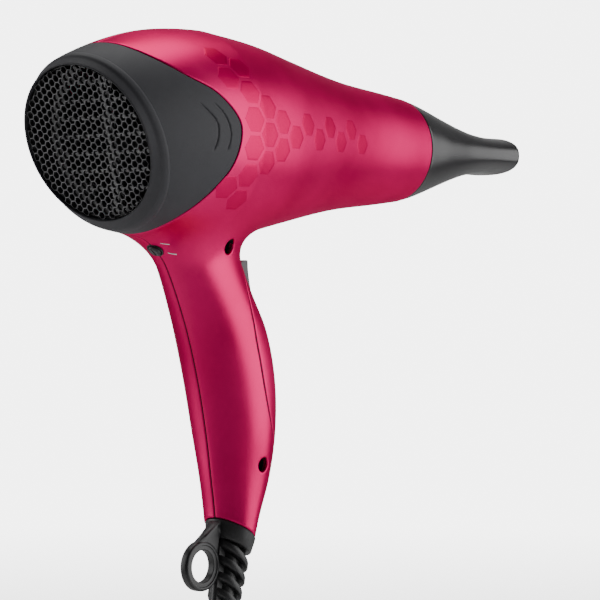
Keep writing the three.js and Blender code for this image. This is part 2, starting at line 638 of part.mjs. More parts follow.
add('body_shell_left', bodyShell(-1), PINK);
add('body_shell_right', bodyShell(1), PINK);
add('handle_front_panel', frontPanel(), PINK);
add('rear_cover', rearCover(), CHARCOAL);
add('rear_grille', rearGrille(), GLOSS);
add('inner_guard', innerGuard(), GLOSS);
add('outlet_ring', outletRing(), GLOSS);
add('concentrator_nozzle', nozzle(), GLOSS);

add('fan_duct', fanDuct(), CHARCOAL);
add('fan_impeller', impeller(), CHARCOAL);
add('motor_can', motorCan(), STEEL);
add('motor_end_cap', motorEndCap(), GLOSS);
add('motor_shaft', rodAlongX(SHAFT_R, -59, -8, 12), STEEL);
add('heater_sleeve', heaterSleeve(), MICA);
add('mica_board_upright', micaBoard(true), MICA);
add('mica_board_level', micaBoard(false), MICA);
add('heating_coil', heatingCoil(), STEEL);
add('thermostat', boxBetween([70, 5, AXIS_Z + 0.8], [81, 11, AXIS_Z + 4.8]), BRASS);
add('thermal_fuse', rodAlongX(1.8, 70, 81, 14).translate(0, -9, 2.7), STEEL);

add('switch_block', switchBlock(), GLOSS);
add('speed_rocker', rocker(-1), GREY);
add('heat_rocker', rocker(1), GREY);
add('voltage_selector', voltageSelector(), GREY);
add('voltage_switch_body', voltageSwitchBody(), GLOSS);

add('live_wire', cordAlong(LIVE_ROUTE, 1.1, 12, 8), WIRE_BROWN);
add('neutral_wire', cordAlong(NEUTRAL_ROUTE, 1.1, 12, 8), WIRE_BLUE);
add('cord_clamp', clampBar(), GLOSS);
CLAMP.posts.forEach((x, i) => add(`clamp_screw_${i + 1}`, clampScrew(x), STEEL));
for (const spot of SCREW_HOLES) add(`shell_screw_${spot.name}`, shellScrew(spot), STEEL);
add('strain_relief', strainRelief(), RUBBER);
add('hanging_loop', hangingLoop(), RUBBER);

add('cord_lead', cordAlong(LEAD_ROUTE, CORD_R, 12, 10), RUBBER);
add('cord_hank', cordHank(), RUBBER);
add('cord_tie', cordTie(), RUBBER);
add('plug_body', plugBody(), RUBBER);
add('plug_pin_1', plugPin(-1), BRASS);
add('plug_pin_2', plugPin(1), BRASS);

export default dryer;
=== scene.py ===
"""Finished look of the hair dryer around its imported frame.

Sizes are millimetres in the frame's axes and become metres when a mesh is made. +X runs along the barrel
to the nozzle, +Z is up and the handle hangs below. The two body shells meet in the plane y = 0.
"""

import math

import bpy
import numpy as np
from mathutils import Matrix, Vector


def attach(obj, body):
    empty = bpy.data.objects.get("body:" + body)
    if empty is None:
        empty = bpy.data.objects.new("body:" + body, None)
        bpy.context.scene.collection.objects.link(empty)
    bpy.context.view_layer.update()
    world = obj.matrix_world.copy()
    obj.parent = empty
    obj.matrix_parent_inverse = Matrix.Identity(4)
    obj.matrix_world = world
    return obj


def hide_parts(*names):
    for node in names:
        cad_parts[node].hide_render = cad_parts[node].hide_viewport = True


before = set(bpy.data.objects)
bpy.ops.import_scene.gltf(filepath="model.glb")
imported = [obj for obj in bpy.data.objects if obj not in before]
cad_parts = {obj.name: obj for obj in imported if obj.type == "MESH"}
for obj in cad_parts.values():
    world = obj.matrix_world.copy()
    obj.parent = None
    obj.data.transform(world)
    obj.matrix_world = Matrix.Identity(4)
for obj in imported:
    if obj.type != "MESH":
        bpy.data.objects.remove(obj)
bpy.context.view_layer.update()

# ---- sizes, as the frame has them ----

MM = 0.001
WALL = 2.2
SEAM = 0.4
SKIN_STEP = 1.3
AXIS_Z = 107.0
BARREL_R = 45.1
WIDEST_X = -28.5
TAIL_LENGTH = 95.5
TAIL_DROOP = 1.6
SHELL_END = 115.2
NOZZLE_END = 192.0
SPIGOT_R = 19.0
REAR_CENTRE = np.array([-88.4, 0.0, 100.9])
REAR_TILT = math.radians(21)
GRILLE_R = 33.2
BARREL = [(-28.5, 45.1), (0, 42), (25, 37.2), (50, 32.3), (70, 29.1), (100, 26.0), (116, 24.2)]
# Handle: height, middle x, half length along x, half width along y
HANDLE = [
    (-72, 0.2, 8.6, 11.2), (-57, 1.7, 11, 13), (-40, 3.5, 15.4, 15.3), (-20, 3, 18.3, 18.3),
    (2, 0.2, 20.7, 19.4), (23, -5.6, 21.7, 18.9), (40, -13.6, 21.1, 17), (51, -19.0, 21.6, 15.6),
    (57, -22.0, 22.4, 15.4), (64, -25, 24, 15.8), (72, -27, 26, 17), (84, -28, 28, 18),
]
HANDLE_TOP = 84.0
ROOT_BLEND = 13.5
# Nozzle: x, half width, half height
NOZZLE = [
    (115, 24.2, 24.2), (121, 23.8, 23), (130, 23.2, 20.4), (140, 22.4, 17.1), (150, 21.6, 13.8),
    (160, 21, 11.1), (171, 20.5, 9.4), (181, 20.2, 8.9), (192, 20, 9),
]
# Edge of the rear cover: x, height above the axis
COVER_EDGE = [
    (-88, 52), (-83, 37.5), (-78, 30), (-66.5, 21.5), (-54.5, 15.2), (-45.3, 6), (-43, -1.5),
    (-45.5, -14.5), (-52.5, -26.5), (-59.5, -37), (-62, -42.5), (-64, -52),
]
# Edge of the handle's front panel: x, z
PANEL_EDGE = [
    (6, 62), (-1, 56), (-5, 47), (-5.3, 34), (-4.1, 21.6), (-1.6, 10.6), (1.5, -1.3), (5.7, -13),
    (11, -23), (20, -32), (30, -38),
]
# The two engraved arcs on the cover's side: x, height above the axis
ARCS = [
    [(-64.9, 10.7), (-60.5, 7), (-56.5, 2.8), (-55.6, -1.8), (-56.2, -5.7), (-57.5, -9.7)],
    [(-57.7, 11), (-53.4, 7.7), (-50.4, 3.1), (-48.9, -1.5), (-49.1, -5.4), (-50.5, -9.4)],
]
ROCKER_CENTRE = np.array([6.0, 0.0, 45.0])
ROCKER_TILT = math.radians(21)
ROCKER_WIDTH = 7.0
ROCKER_OFFSET = 4.4
ROCKER_PIVOT = -1.5
ROCKER_REACH = 10.6
ROCKER_SINK = 2.0
WINDOW_UP = 11.3
WINDOW_ACROSS = 3.85
WINDOW_CORNER = 0.8
SELECTOR_CENTRE = np.array([-47.6, 0.0, 57.4])
SELECTOR_TILT = math.radians(38)
SELECTOR_R = 3.35
KNOB_R = 2.85
SCREWS = {"upper": (-18.3, 59.5), "lower": (4.5, -34.2)}
RECESS_R = 3.2
RECESS_Y = -6.0
FOOT_REAR = (-9.3, -57.1)
FOOT_FRONT = (12.5, -69.6)
RELIEF_TOP = np.array([2.3, 0.0, -60.0])
RELIEF_LEAN = math.radians(10)
RELIEF_LENGTH = 50.0
RELIEF_COLLAR = 10.0
RELIEF_PITCH = 6.6
RELIEF_BANDS = 6
BAND_FIRST_R = 8.9
BAND_LAST_R = 6.0
BAND_TILT = 0.62
LOOP_CENTRE = np.array([-18.8, 0.0, -77.2])
CORD_R = 3.5
HANK_X = -13.0
HANK_TOP = -174.0
HANK_RUN = 58.0
HANK_TURN_R = 25.0
PLUG_X = 15.5
PLUG_Y = 14.0
PLUG_TOP = -256.3
PIN_OFFSET = 9.5
FLOOR_Z = -0.75  # metres

# ---- camera ----

AZIMUTH = math.radians(50.4)
DISTANCE = 1.15
LOOK_RIGHT = 0.0309
LOOK_UP = 0.037
LENS = 158.8
RIGHT = Vector((math.cos(AZIMUTH), -math.sin(AZIMUTH), 0))
AHEAD = Vector((math.sin(AZIMUTH), math.cos(AZIMUTH), 0))


def in_scene(name, data):
    """A new object in the scene."""
    obj = bpy.data.objects.new(name, data)
    bpy.context.scene.collection.objects.link(obj)
    return obj


def add_camera():
    """A long lens level with the dryer, behind its left side."""
    camera = in_scene("camera", bpy.data.cameras.new("camera"))
    camera.location = RIGHT * LOOK_RIGHT + Vector((0, 0, LOOK_UP)) - AHEAD * DISTANCE
    camera.rotation_mode = "QUATERNION"
    camera.rotation_quaternion = AHEAD.to_track_quat("-Z", "Y")
    camera.data.lens = LENS
    camera.data.sensor_width = 36
    camera.data.clip_start = 0.05
    camera.data.clip_end = 30
    bpy.context.scene.camera = camera


add_camera()

# ---- curves ----


def through(rows):
    """Smooth curve through rows of (key, value, value...): a function from keys to values."""
    table = np.array(rows, float)
    keys = table[:, 0]
    count = len(rows)
    before = table[np.maximum(np.arange(count) - 1, 0)]
    after = table[np.minimum(np.arange(count) + 1, count - 1)]
    slope = (after - before) / (after[:, :1] - before[:, :1])

    def at(key):
        key = np.asarray(key, float)
        i = np.clip(np.searchsorted(keys, key, side="right") - 1, 0, count - 2)
        span = keys[i + 1] - keys[i]
        t = np.clip((key - keys[i]) / span, 0, 1)[..., None]
        span = span[..., None]
        return ((2 * t**3 - 3 * t**2 + 1) * table[i, 1:] + (t**3 - 2 * t**2 + t) * span * slope[i, 1:]
                + (3 * t**2 - 2 * t**3) * table[i + 1, 1:] + (t**3 - t**2) * span * slope[i + 1, 1:])

    return at


def spline(points, steps):
    """Catmull-Rom curve through points, steps to each span."""
    points = np.array(points, float)
    padded = np.concatenate([points[:1], points, points[-1:]])
    t = np.linspace(0, 1, steps, endpoint=False)[:, None]
    line = []
    for a, b, c, d in zip(padded, padded[1:], padded[2:], padded[3:]):
        line.append(0.5 * (2 * b + (c - a) * t + (2 * a - 5 * b + 4 * c - d) * t**2
                           + (3 * b - a - 3 * c + d) * t**3))
    return np.concatenate(line + [points[-1:]])


def ease(value, start, end):
    """0 before start, 1 after end and a smooth turn between them."""
    t = np.clip((value - start) / (end - start), 0, 1)
    return t * t * (3 - 2 * t)


def circle(steps):
    """Angles evenly round a full turn."""
    return np.linspace(0, 2 * np.pi, steps, endpoint=False)


def unit(vector):
    """Vectors at length 1."""
    return vector / np.linalg.norm(vector, axis=-1, keepdims=True)


# ---- meshes ----


def strips(rows, columns, wrap=True, start=0):
    """Quads between neighbouring rows of a grid of points."""
    last = columns if wrap else columns - 1
    faces = []
    for row in range(rows - 1):
        for column in range(last):
            a = start + row * columns + column
            b = start + row * columns + (column + 1) % columns
            faces.append((a, b, b + columns, a + columns))
    return faces


def loft(rings, caps=(True, True)):
    """A skin over rings of points. caps closes the first and the last ring."""
    rings = np.asarray(rings, float)
    rows, columns = rings.shape[:2]
    faces = strips(rows, columns)
    if caps[0]:
        faces.append(tuple(reversed(range(columns))))
    if caps[1]:
        faces.append(tuple((rows - 1) * columns + i for i in range(columns)))
    return rings.reshape(-1, 3), faces


def turned(profile, origin, axis, across, sides):
    """A body turned about an axis from (distance along it, radius) points, open at both ends."""
    axis = unit(np.asarray(axis, float))
    first = unit(np.asarray(across, float))
    second = np.cross(axis, first)
    turn = circle(sides)
    ring = np.cos(turn)[:, None] * first + np.sin(turn)[:, None] * second
    return loft([np.asarray(origin) + axis * d + ring * r for d, r in profile], (False, False))


def joined(parts):
    """One mesh from several (points, faces)."""
    spots, faces, start = [], [], 0
    for part_spots, part_faces in parts:
        spots.append(part_spots)
        faces.extend(tuple(int(i) + start for i in face) for face in part_faces)
        start += len(part_spots)
    return np.concatenate(spots), faces


def piece(name, shape, finish, body="housing", sharp=None, replaces=()):
    """A named object from (points in mm, faces), riding on a body, with outward faces."""
    spots, faces = shape
    mesh = bpy.data.meshes.new(name)
    mesh.from_pydata((np.asarray(spots) * MM).tolist(), [], [tuple(int(i) for i in f) for f in faces])
    mesh.update()
    mesh.polygons.foreach_set("use_smooth", [True] * len(mesh.polygons))
    if sharp:
        mesh.set_sharp_from_angle(angle=math.radians(sharp))
    mesh.materials.append(finish)
    obj = in_scene(name, mesh)
    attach(obj, body)
    if replaces:
        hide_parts(*replaces)
    return obj


def soften(obj, width):
    """Rounds an object's edges."""
    bevel = obj.modifiers.new("edge", "BEVEL")
    bevel.width = width * MM
    bevel.segments = 3
    bevel.limit_method = "ANGLE"
    bevel.angle_limit = math.radians(30)
    bevel.harden_normals = True


# ---- materials ----


def node(tree, kind, **values):
    """A new node, with its settings or inputs given by name."""
    made = tree.nodes.new(kind)
    for key, value in values.items():
        if hasattr(made, key):
            setattr(made, key, value)
        else:
            made.inputs[key].default_value = value
    return made


def finish(name, dark, light, rough, metal=0.0, grain=1500, patch=90, bump=0.08, tint=None,
           level=0.5, depth=0.00005):
    """Moulded or painted surface: two close colours in soft patches, a grain and varied gloss."""
    made = bpy.data.materials.new(name)
    made.use_nodes = True
    tree = made.node_tree
    shader = tree.nodes["Principled BSDF"]
    shader.inputs["Metallic"].default_value = metal
    shader.inputs["Specular IOR Level"].default_value = level
    if tint:
        shader.inputs["Specular Tint"].default_value = (*tint, 1)
    place = node(tree, "ShaderNodeTexCoord")
    patches = node(tree, "ShaderNodeTexNoise", Scale=patch, Detail=4.0)
    grains = node(tree, "ShaderNodeTexNoise", Scale=grain, Detail=3.0)
    blend = node(tree, "ShaderNodeMath", operation="MULTIPLY_ADD")
    blend.inputs[1].default_value = 0.35
    colours = node(tree, "ShaderNodeValToRGB")
    for stop, position, colour in zip(colours.color_ramp.elements, (0.45, 0.9), (dark, light)):
        stop.position = position
        stop.color = (*colour, 1)
    gloss = node(tree, "ShaderNodeMapRange", **{"From Min": 0.3, "From Max": 0.7,
                                                "To Min": rough - 0.04, "To Max": rough + 0.04})
    raised = node(tree, "ShaderNodeBump", Strength=bump, Distance=depth)
    link = tree.links.new
    for texture in (patches, grains):
        link(place.outputs["Object"], texture.inputs["Vector"])
    link(grains.outputs["Fac"], blend.inputs[0])
    link(patches.outputs["Fac"], blend.inputs[2])
    link(blend.outputs[0], colours.inputs["Fac"])
    link(colours.outputs["Color"], shader.inputs["Base Color"])
    link(patches.outputs["Fac"], gloss.inputs["Value"])
    link(gloss.outputs["Result"], shader.inputs["Roughness"])
    link(grains.outputs["Fac"], raised.inputs["Height"])
    link(raised.outputs["Normal"], shader.inputs["Normal"])
    return made


PAINT_EDGE = (0.85, 0.22, 0.42)
PINK = finish("satin_pink", (0.61, 0.008, 0.108), (0.74, 0.013, 0.148), 0.38, metal=0.9, grain=2600,
              patch=30, bump=0.10, tint=PAINT_EDGE, level=0.25)
INLAY = finish("inlay_pink", (0.51, 0.0, 0.078), (0.63, 0.002, 0.108), 0.40, metal=0.92, grain=2600,
               patch=60, bump=0.10, tint=PAINT_EDGE, level=0.15)
CHARCOAL = finish("matt_charcoal", (0.033, 0.033, 0.038), (0.045, 0.045, 0.051), 0.60, grain=2400,
                  patch=60, bump=0.25, level=0.3, depth=0.0001)
GLOSS = finish("gloss_black", (0.006, 0.006, 0.007), (0.011, 0.010, 0.012), 0.21, grain=1200, patch=35,
               bump=0.03, level=0.6)
# near black on the tongue behind the seams: painted shade in the seam gaps
SEAM_SHADE = finish("seam_painted_shade", (0.003, 0.003, 0.003), (0.007, 0.007, 0.007), 0.6, bump=0.1,
                    level=0.1)
# grey on the rims' faces of the black honeycomb: a painted highlight
GRILLE_HIGHLIGHT = finish("grille_painted_highlight", (0.20, 0.20, 0.21), (0.28, 0.28, 0.29), 0.36, grain=1800, patch=80)
# pale grey on the dark shiny guard bars behind the grille: a painted highlight
GUARD_HIGHLIGHT = finish("guard_painted_highlight", (0.62, 0.62, 0.63), (0.74, 0.74, 0.75), 0.3, patch=70, bump=0.1)
MOULDING = finish("black_moulding", (0.014, 0.014, 0.015), (0.026, 0.026, 0.027), 0.45, patch=70,
                  bump=0.12)
RUBBER = finish("black_rubber", (0.008, 0.008, 0.009), (0.016, 0.016, 0.017), 0.40, grain=1900, bump=0.2,
                depth=0.0001)
CORD_SKIN = finish("cord_jacket", (0.016, 0.016, 0.017), (0.028, 0.028, 0.029), 0.5, patch=120,
                   bump=0.2)
KNOB = finish("dark_knob", (0.03, 0.03, 0.032), (0.05, 0.05, 0.053), 0.45, grain=1800, patch=110,
              bump=0.15)
GREY = finish("grey_button", (0.05, 0.05, 0.053), (0.085, 0.085, 0.088), 0.45, grain=1800, patch=110,
              bump=0.15)
STEEL = finish("steel", (0.42, 0.43, 0.44), (0.58, 0.59, 0.60), 0.3, metal=1.0, grain=2200)
MICA = finish("mica", (0.34, 0.27, 0.17), (0.50, 0.42, 0.29), 0.42, grain=700, patch=160, bump=0.25)
COIL = finish("heater_wire", (0.30, 0.28, 0.27), (0.46, 0.42, 0.38), 0.36, metal=1.0, grain=1600,
              patch=140, bump=0.1)
BRASS = finish("brass", (0.60, 0.42, 0.16), (0.76, 0.56, 0.26), 0.26, metal=1.0, grain=1700, patch=120,
               bump=0.06)
LIVE = finish("live_insulation", (0.10, 0.035, 0.015), (0.15, 0.055, 0.025), 0.42, patch=140)
NEUTRAL = finish("neutral_insulation", (0.015, 0.07, 0.26), (0.025, 0.10, 0.34), 0.42, patch=140)
MARK = finish("white_mark", (0.78, 0.74, 0.76), (0.9, 0.88, 0.9), 0.5, patch=200)

# ---- the cord: it leaves the strain relief, winds six times round the hank and ends in the plug ----

# Places of the turns in the hank: radius of the folds, y
SLOTS = [(21.5, 7), (21.5, 14), (21.5, 21), (21.5, 28), (28.5, 28), (28.5, 21), (28.5, 14)]
# Part of a turn over which the cord moves to its next place
HOPS = [(0.7, 0.95), (0.7, 0.95), (0.7, 0.95), (0.45, 0.7), (0.2, 0.45), (0.2, 0.45)]
LEAD_ROUTE = [(-6.44, 0, -109.6), (-7.7, 0, -116), (-9.4, 0, -123), (-11.2, 0, -130), (-12.5, 0, -136.5),
              (HANK_X, 0, -141.5)]
MIDDLE_Z = HANK_TOP - HANK_RUN / 2


def round_hank(part, radius, y):
    """Where a cord is after a part of one turn that starts halfway down the front run."""
    fold = math.pi * HANK_TURN_R
    lengths = np.array([HANK_RUN / 2, fold, HANK_RUN, fold, HANK_RUN / 2])
    ends = np.concatenate([[0], np.cumsum(lengths)]) / lengths.sum()
    leg = min(int(np.searchsorted(ends, part, side="right")) - 1, 4)
    t = (part - ends[leg]) / (ends[leg + 1] - ends[leg])
    bottom = HANK_TOP - HANK_RUN
    if leg == 0:
        return HANK_X + radius, y, MIDDLE_Z + t * (bottom - MIDDLE_Z)
    if leg == 1:
        return HANK_X + radius * math.cos(math.pi * t), y, bottom - radius * math.sin(math.pi * t)
    if leg == 2:
        return HANK_X - radius, y, bottom + t * HANK_RUN
    if leg == 3:
        return HANK_X - radius * math.cos(math.pi * t), y, HANK_TOP + radius * math.sin(math.pi * t)
    return HANK_X + radius, y, HANK_TOP + t * (MIDDLE_Z - HANK_TOP)


def cord_route():
    """The cord's middle line, from the strain relief to the plug."""
    route = [tuple(p) for p in spline(LEAD_ROUTE, 4)]
    top = LEAD_ROUTE[-1][2]
    for t in np.linspace(0.05, 1, 20):
        z = top + t * (MIDDLE_Z - top)
        x = HANK_X + SLOTS[0][0] * (1 - math.cos(math.pi * t)) / 2
        y = SLOTS[0][1] * float(ease(-z, 176, 203))
        route.append((x, y, z))
    for turn, (start, end) in enumerate(HOPS):
        here, there = SLOTS[turn], SLOTS[turn + 1]
        for part in np.linspace(0, 1, 64, endpoint=False)[1 if turn == 0 else 0:]:
            w = float(ease(part, start, end))
            radius = here[0] + w * (there[0] - here[0])
            route.append(round_hank(float(part), radius, here[1] + w * (there[1] - here[1])))
    for z in np.linspace(MIDDLE_Z, PLUG_TOP + 0.4, 12):
        route.append((PLUG_X, PLUG_Y, float(z)))
    return np.array(route)


def tube(route, radius, sides=16):
    """A round tube along a route, without twist."""
    ahead = unit(np.gradient(route, axis=0))
    side = unit(np.cross(ahead[0], (0, 1, 0)))
    turn = circle(sides)
    rings = []
    for spot, way in zip(route, ahead):
        side = unit(side - way * np.dot(side, way))
        up = np.cross(way, side)
        rings.append(spot + radius * (np.cos(turn)[:, None] * side + np.sin(turn)[:, None] * up))
    return loft(rings)


power_route = cord_route()
power_cord = piece("power_cord", tube(power_route, CORD_R), CORD_SKIN,
                   replaces=("cord_lead", "cord_hank"))


def plug_shape():
    """Round plug: a ribbed sleeve, a waisted grip and a flat flange that carries the pins."""
    profile = [(-1.2, 0.0), (-1.2, 4.0), (-0.4, 4.6)]
    for i in range(4):
        z = 1.0 + i * 2.6
        profile += [(z, 4.6), (z + 0.3, 5.3 + 0.2 * i), (z + 1.3, 5.4 + 0.2 * i), (z + 1.6, 4.7)]
    profile += [(12, 6.4), (14, 8.0), (18, 9.4), (22, 10.3), (26, 10.0), (31, 9.9), (36, 10.4), (40, 11.4),
                (40.6, 12.4), (41.2, 12.9), (43.4, 12.9), (44, 12.3), (44, 0.0)]
    return turned(profile, (PLUG_X, PLUG_Y, PLUG_TOP), (0, 0, -1), (1, 0, 0), 48)


def add_plug():
    """The plug's body and its two pins."""
    body = piece("mains_plug", plug_shape(), RUBBER, sharp=50, replaces=("plug_body",))
    pins = []
    for number, side in ((1, -1), (2, 1)):
        profile = [(43.6, 2.4), (61.6, 2.4), (62.6, 2.1), (63.3, 1.4), (63.4, 0.0)]
        shape = turned(profile, (PLUG_X + side * PIN_OFFSET, PLUG_Y, PLUG_TOP), (0, 0, -1), (1, 0, 0), 32)
        pins.append(piece(f"mains_pin_{number}", shape, BRASS, sharp=50,
                          replaces=(f"plug_pin_{number}",)))
    return [body, *pins]


def add_tie():
    """Flat strap round the waist of the hank."""
    half_x, low, high, corner = 32.9, -4.3, 32.3, 5.0
    turn = circle(96)
    middle = np.array([HANK_X, (low + high) / 2])
    half = np.array([half_x, (high - low) / 2]) - corner
    way = np.stack([np.cos(turn), np.sin(turn)], 1)
    outline = middle + np.sign(np.round(way, 6)) * half + way * corner
    rings = []
    for z, out in ((-7.6, 0), (-8, 0.3), (-8, 0.9), (-7.6, 1.2), (7.6, 1.2), (8, 0.9), (8, 0.3), (7.6, 0)):
        line = outline + way * out
        rings.append(np.column_stack([line, np.full(len(line), MIDDLE_Z + z)]))
    rings.append(rings[0])
    band = loft(rings, (False, False))
    return piece("cord_strap", band, RUBBER, sharp=60, replaces=("cord_tie",))


plug_pieces = add_plug()
strap = add_tie()

# ---- the smooth outer form of barrel and handle ----

barrel_front = through(BARREL)
handle_at = through(HANDLE)
nozzle_at = through(NOZZLE)


def barrel_radius(x):
    """Radius of the barrel: a half ellipse behind its widest place and a curve ahead of it."""
    behind = np.sqrt(np.maximum(1 - ((x - WIDEST_X) / TAIL_LENGTH) ** 2, 0))
    return np.where(x > WIDEST_X, barrel_front(x)[..., 0], BARREL_R * behind)


def barrel_gap(p):
    """Signed distance from the barrel."""
    x = p[:, 0]
    slope = barrel_radius(x + 0.5) - barrel_radius(x - 0.5)
    droop = TAIL_DROOP * ease(x, -50, -90)
    return (np.hypot(p[:, 1], p[:, 2] - AXIS_Z + droop) - barrel_radius(x)) / np.sqrt(1 + slope**2)


def handle_gap(p):
    """Signed distance from the handle."""
    middle, long, wide = handle_at(p[:, 2]).T
    u = (p[:, 0] - middle) / long
    v = p[:, 1] / wide
    size = np.sqrt(u * u + v * v) + 1e-9
    steep = np.sqrt((u / long) ** 2 + (v / wide) ** 2) / size + 1e-9
    return np.maximum((size - 1) / steep, p[:, 2] - HANDLE_TOP)


def body_gap(p):
    """Signed distance from the body's skin, with the handle's root run smoothly into the barrel."""
    a, b = barrel_gap(p), handle_gap(p)
    h = np.clip(0.5 + 0.5 * (b - a) / ROOT_BLEND, 0, 1)
    return b + h * (a - b) - ROOT_BLEND * h * (1 - h)


def slope_of(gap, p):
    """Direction in which a signed distance grows."""
    step = 0.05
    rises = [gap(p + axis * step) - gap(p - axis * step) for axis in np.eye(3)]
    return np.stack(rises, 1) / (2 * step)


def settle(p, gap, rounds=2):
    """Moves points onto the skin."""
    for _ in range(rounds):
        way = slope_of(gap, p)
        p = p - (gap(p) / np.maximum((way**2).sum(1), 1e-6))[:, None] * way
    return p


def surface_net(gap, low, high, step):
    """Triangles over the surface where gap is 0, from a grid of cells."""
    axes = [np.arange(a, b + step, step) for a, b in zip(low, high)]
    shape = [len(a) for a in axes]
    points = np.stack(np.meshgrid(*axes, indexing="ij"), -1).reshape(-1, 3)
    inside = (gap(points) < 0).reshape(shape)
    corners = sum(inside[i:shape[0] - 1 + i, j:shape[1] - 1 + j, k:shape[2] - 1 + k].astype(int)
                  for i in (0, 1) for j in (0, 1) for k in (0, 1))
    mixed = (corners > 0) & (corners < 8)
    number = np.full(mixed.shape, -1)
    number[mixed] = np.arange(mixed.sum())
    spots = np.array(low) + (np.argwhere(mixed) + 0.5) * step
    quads = []
    for axis in range(3):
        first, second = np.eye(3, dtype=int)[(axis + 1) % 3], np.eye(3, dtype=int)[(axis + 2) % 3]
        here = np.take(inside, range(shape[axis] - 1), axis)
        there = np.take(inside, range(1, shape[axis]), axis)
        at = np.argwhere(here != there)
        limit = np.array(mixed.shape)
        fits = ((at - first - second) >= 0).all(1) & (at < limit).all(1)
        at = at[fits]
        quad = np.stack([number[tuple(c.T)] for c in (at - first - second, at - second, at, at - first)], 1)
        outward = here[tuple(at.T)]
        quads.append(np.where(outward[:, None], quad, quad[:, ::-1]))
    quads = np.concatenate(quads)
    edges = np.unique(np.sort(np.concatenate([quads[:, [0, 1]], quads[:, [1, 2]], quads[:, [2, 3]],
                                              quads[:, [3, 0]]]), 1), axis=0)
    for _ in range(3):
        total, count = np.zeros_like(spots), np.zeros(len(spots))
        for a, b in (edges.T, edges.T[::-1]):
            np.add.at(total, a, spots[b])
            np.add.at(count, a, 1)
        spots = settle(spots * 0.4 + total / count[:, None] * 0.6, gap)
    return spots, np.concatenate([quads[:, [0, 1, 2]], quads[:, [0, 2, 3]]])


def split(spots, faces, field):
    """Puts edges along field = 0. Also returns, for each face, whether its field is positive."""
    sliver = 0.01
    value = field(spots)
    value = np.where(np.abs(value) < sliver, np.where(value < 0, -sliver, sliver), value)
    plus = value > 0
    count = plus[faces].sum(1)
    whole = faces[(count == 0) | (count == 3)]
    mixed = faces[(count == 1) | (count == 2)]
    lone = plus[mixed].sum(1) == 1
    odd = np.argmax(plus[mixed] == lone[:, None], axis=1)
    rows = np.arange(len(mixed))
    a, b, c = (mixed[rows, (odd + k) % 3] for k in range(3))
    pairs = np.sort(np.concatenate([np.stack([a, b], 1), np.stack([a, c], 1)]), axis=1)
    edges, at = np.unique(pairs, axis=0, return_inverse=True)
    at = at.ravel() + len(spots)
    i, j = edges.T
    t = (value[i] / (value[i] - value[j]))[:, None]
    fresh = settle(spots[i] + t * (spots[j] - spots[i]), body_gap, 1)
    p, q = at[:len(mixed)], at[len(mixed):]
    faces = np.concatenate([whole, np.stack([a, p, q], 1), np.stack([p, b, c], 1), np.stack([p, c, q], 1)])
    sides = np.concatenate([plus[whole[:, 0]], lone, ~lone, ~lone])
    return np.concatenate([spots, fresh]), faces, sides


def kept(spots, faces, sides):
    """Only the faces that sides marks, and the points that they use."""
    faces = faces[sides]
    used, faces = np.unique(faces, return_inverse=True)
    return spots[used], faces.reshape(-1, 3)


def shell_piece(skin, fields, rounding=0.6, grooves=()):
    """A moulded wall: the skin where every field is positive, with rounded edges and an inner face."""
    spots, faces = skin
    for field in fields:
        spots, faces = kept(*split(spots, faces, field))
    for field in fields:
        for depth in (0.2 * rounding, 0.5 * rounding, rounding):
            spots, faces, _ = split(spots, faces, lambda p: field(p) - depth)
    for line in grooves:
        for offset in (0, -0.22, 0.22, -0.45, 0.45):
            spots, faces, _ = split(spots, faces, lambda p: line(p)[0] - offset)
    away = np.min([field(spots) for field in fields], axis=0)
    short = np.clip(rounding - away, 0, rounding)
    dip = rounding - np.sqrt(rounding**2 - short**2)
    for line in grooves:
        across, fade = line(spots)
        dip = dip + GROOVE_DEPTH * fade * (1 - ease(np.abs(across), 0.1, 0.44))
    way = unit(slope_of(body_gap, spots))
    outer = spots - way * dip[:, None]
    return walled(outer, spots - way * WALL, faces)


def walled(outer, inner, faces):
    """Joins an outer and an inner skin along their open edges."""
    count = len(outer)
    edges = np.concatenate([faces[:, [0, 1]], faces[:, [1, 2]], faces[:, [2, 0]]])
    codes = edges[:, 0] * count + edges[:, 1]
    back = edges[:, 1] * count + edges[:, 0]
    rim = edges[~np.isin(codes, back)]
    sides = [(b, a, a + count, b + count) for a, b in rim.tolist()]
    all_faces = faces.tolist() + (faces[:, ::-1] + count).tolist() + sides
    return np.concatenate([outer, inner]), all_faces


# ---- where the pieces of the body end ----


def inside_outline(outline):
    """Signed distance in side view, positive inside a closed outline of (x, z) points."""
    start = np.asarray(outline, float)
    run = np.roll(start, -1, axis=0) - start
    size = (run**2).sum(1)

    def field(p):
        q = p[:, [0, 2]]
        best = np.full(len(q), 1e9)
        inside = np.zeros(len(q), bool)
        for (ax, az), (rx, rz), length in zip(start, run, size):
            dx, dz = q[:, 0] - ax, q[:, 1] - az
            t = np.clip((dx * rx + dz * rz) / max(length, 1e-12), 0, 1)
            best = np.minimum(best, (dx - t * rx) ** 2 + (dz - t * rz) ** 2)
            crosses = (az > q[:, 1]) != (az + rz > q[:, 1])
            reach = ax + rx * (q[:, 1] - az) / (rz if rz else 1e-12)
            inside ^= crosses & (q[:, 0] < reach)
        return np.where(inside, 1, -1) * np.sqrt(best)

    return field


def beside_arc(points):
    """How far a point is ahead of an engraved arc, and how deep the groove is at its height."""
    line = spline(points, 8)[::-1]
    low, high = line[0, 1], line[-1, 1]
    slant = np.gradient(line[:, 0]) / np.gradient(line[:, 1])

    def field(p):
        x, z = p[:, 0], p[:, 2]
        across = (x - np.interp(z, line[:, 1], line[:, 0])) / np.hypot(1, np.interp(z, line[:, 1], slant))
        fade = ease(z, low, low + 2) * (1 - ease(z, high - 2, high))
        return across, fade

    return field


def raised(points, lift):
    """Side view points, moved up."""
    return [(x, z + lift) for x, z in points]


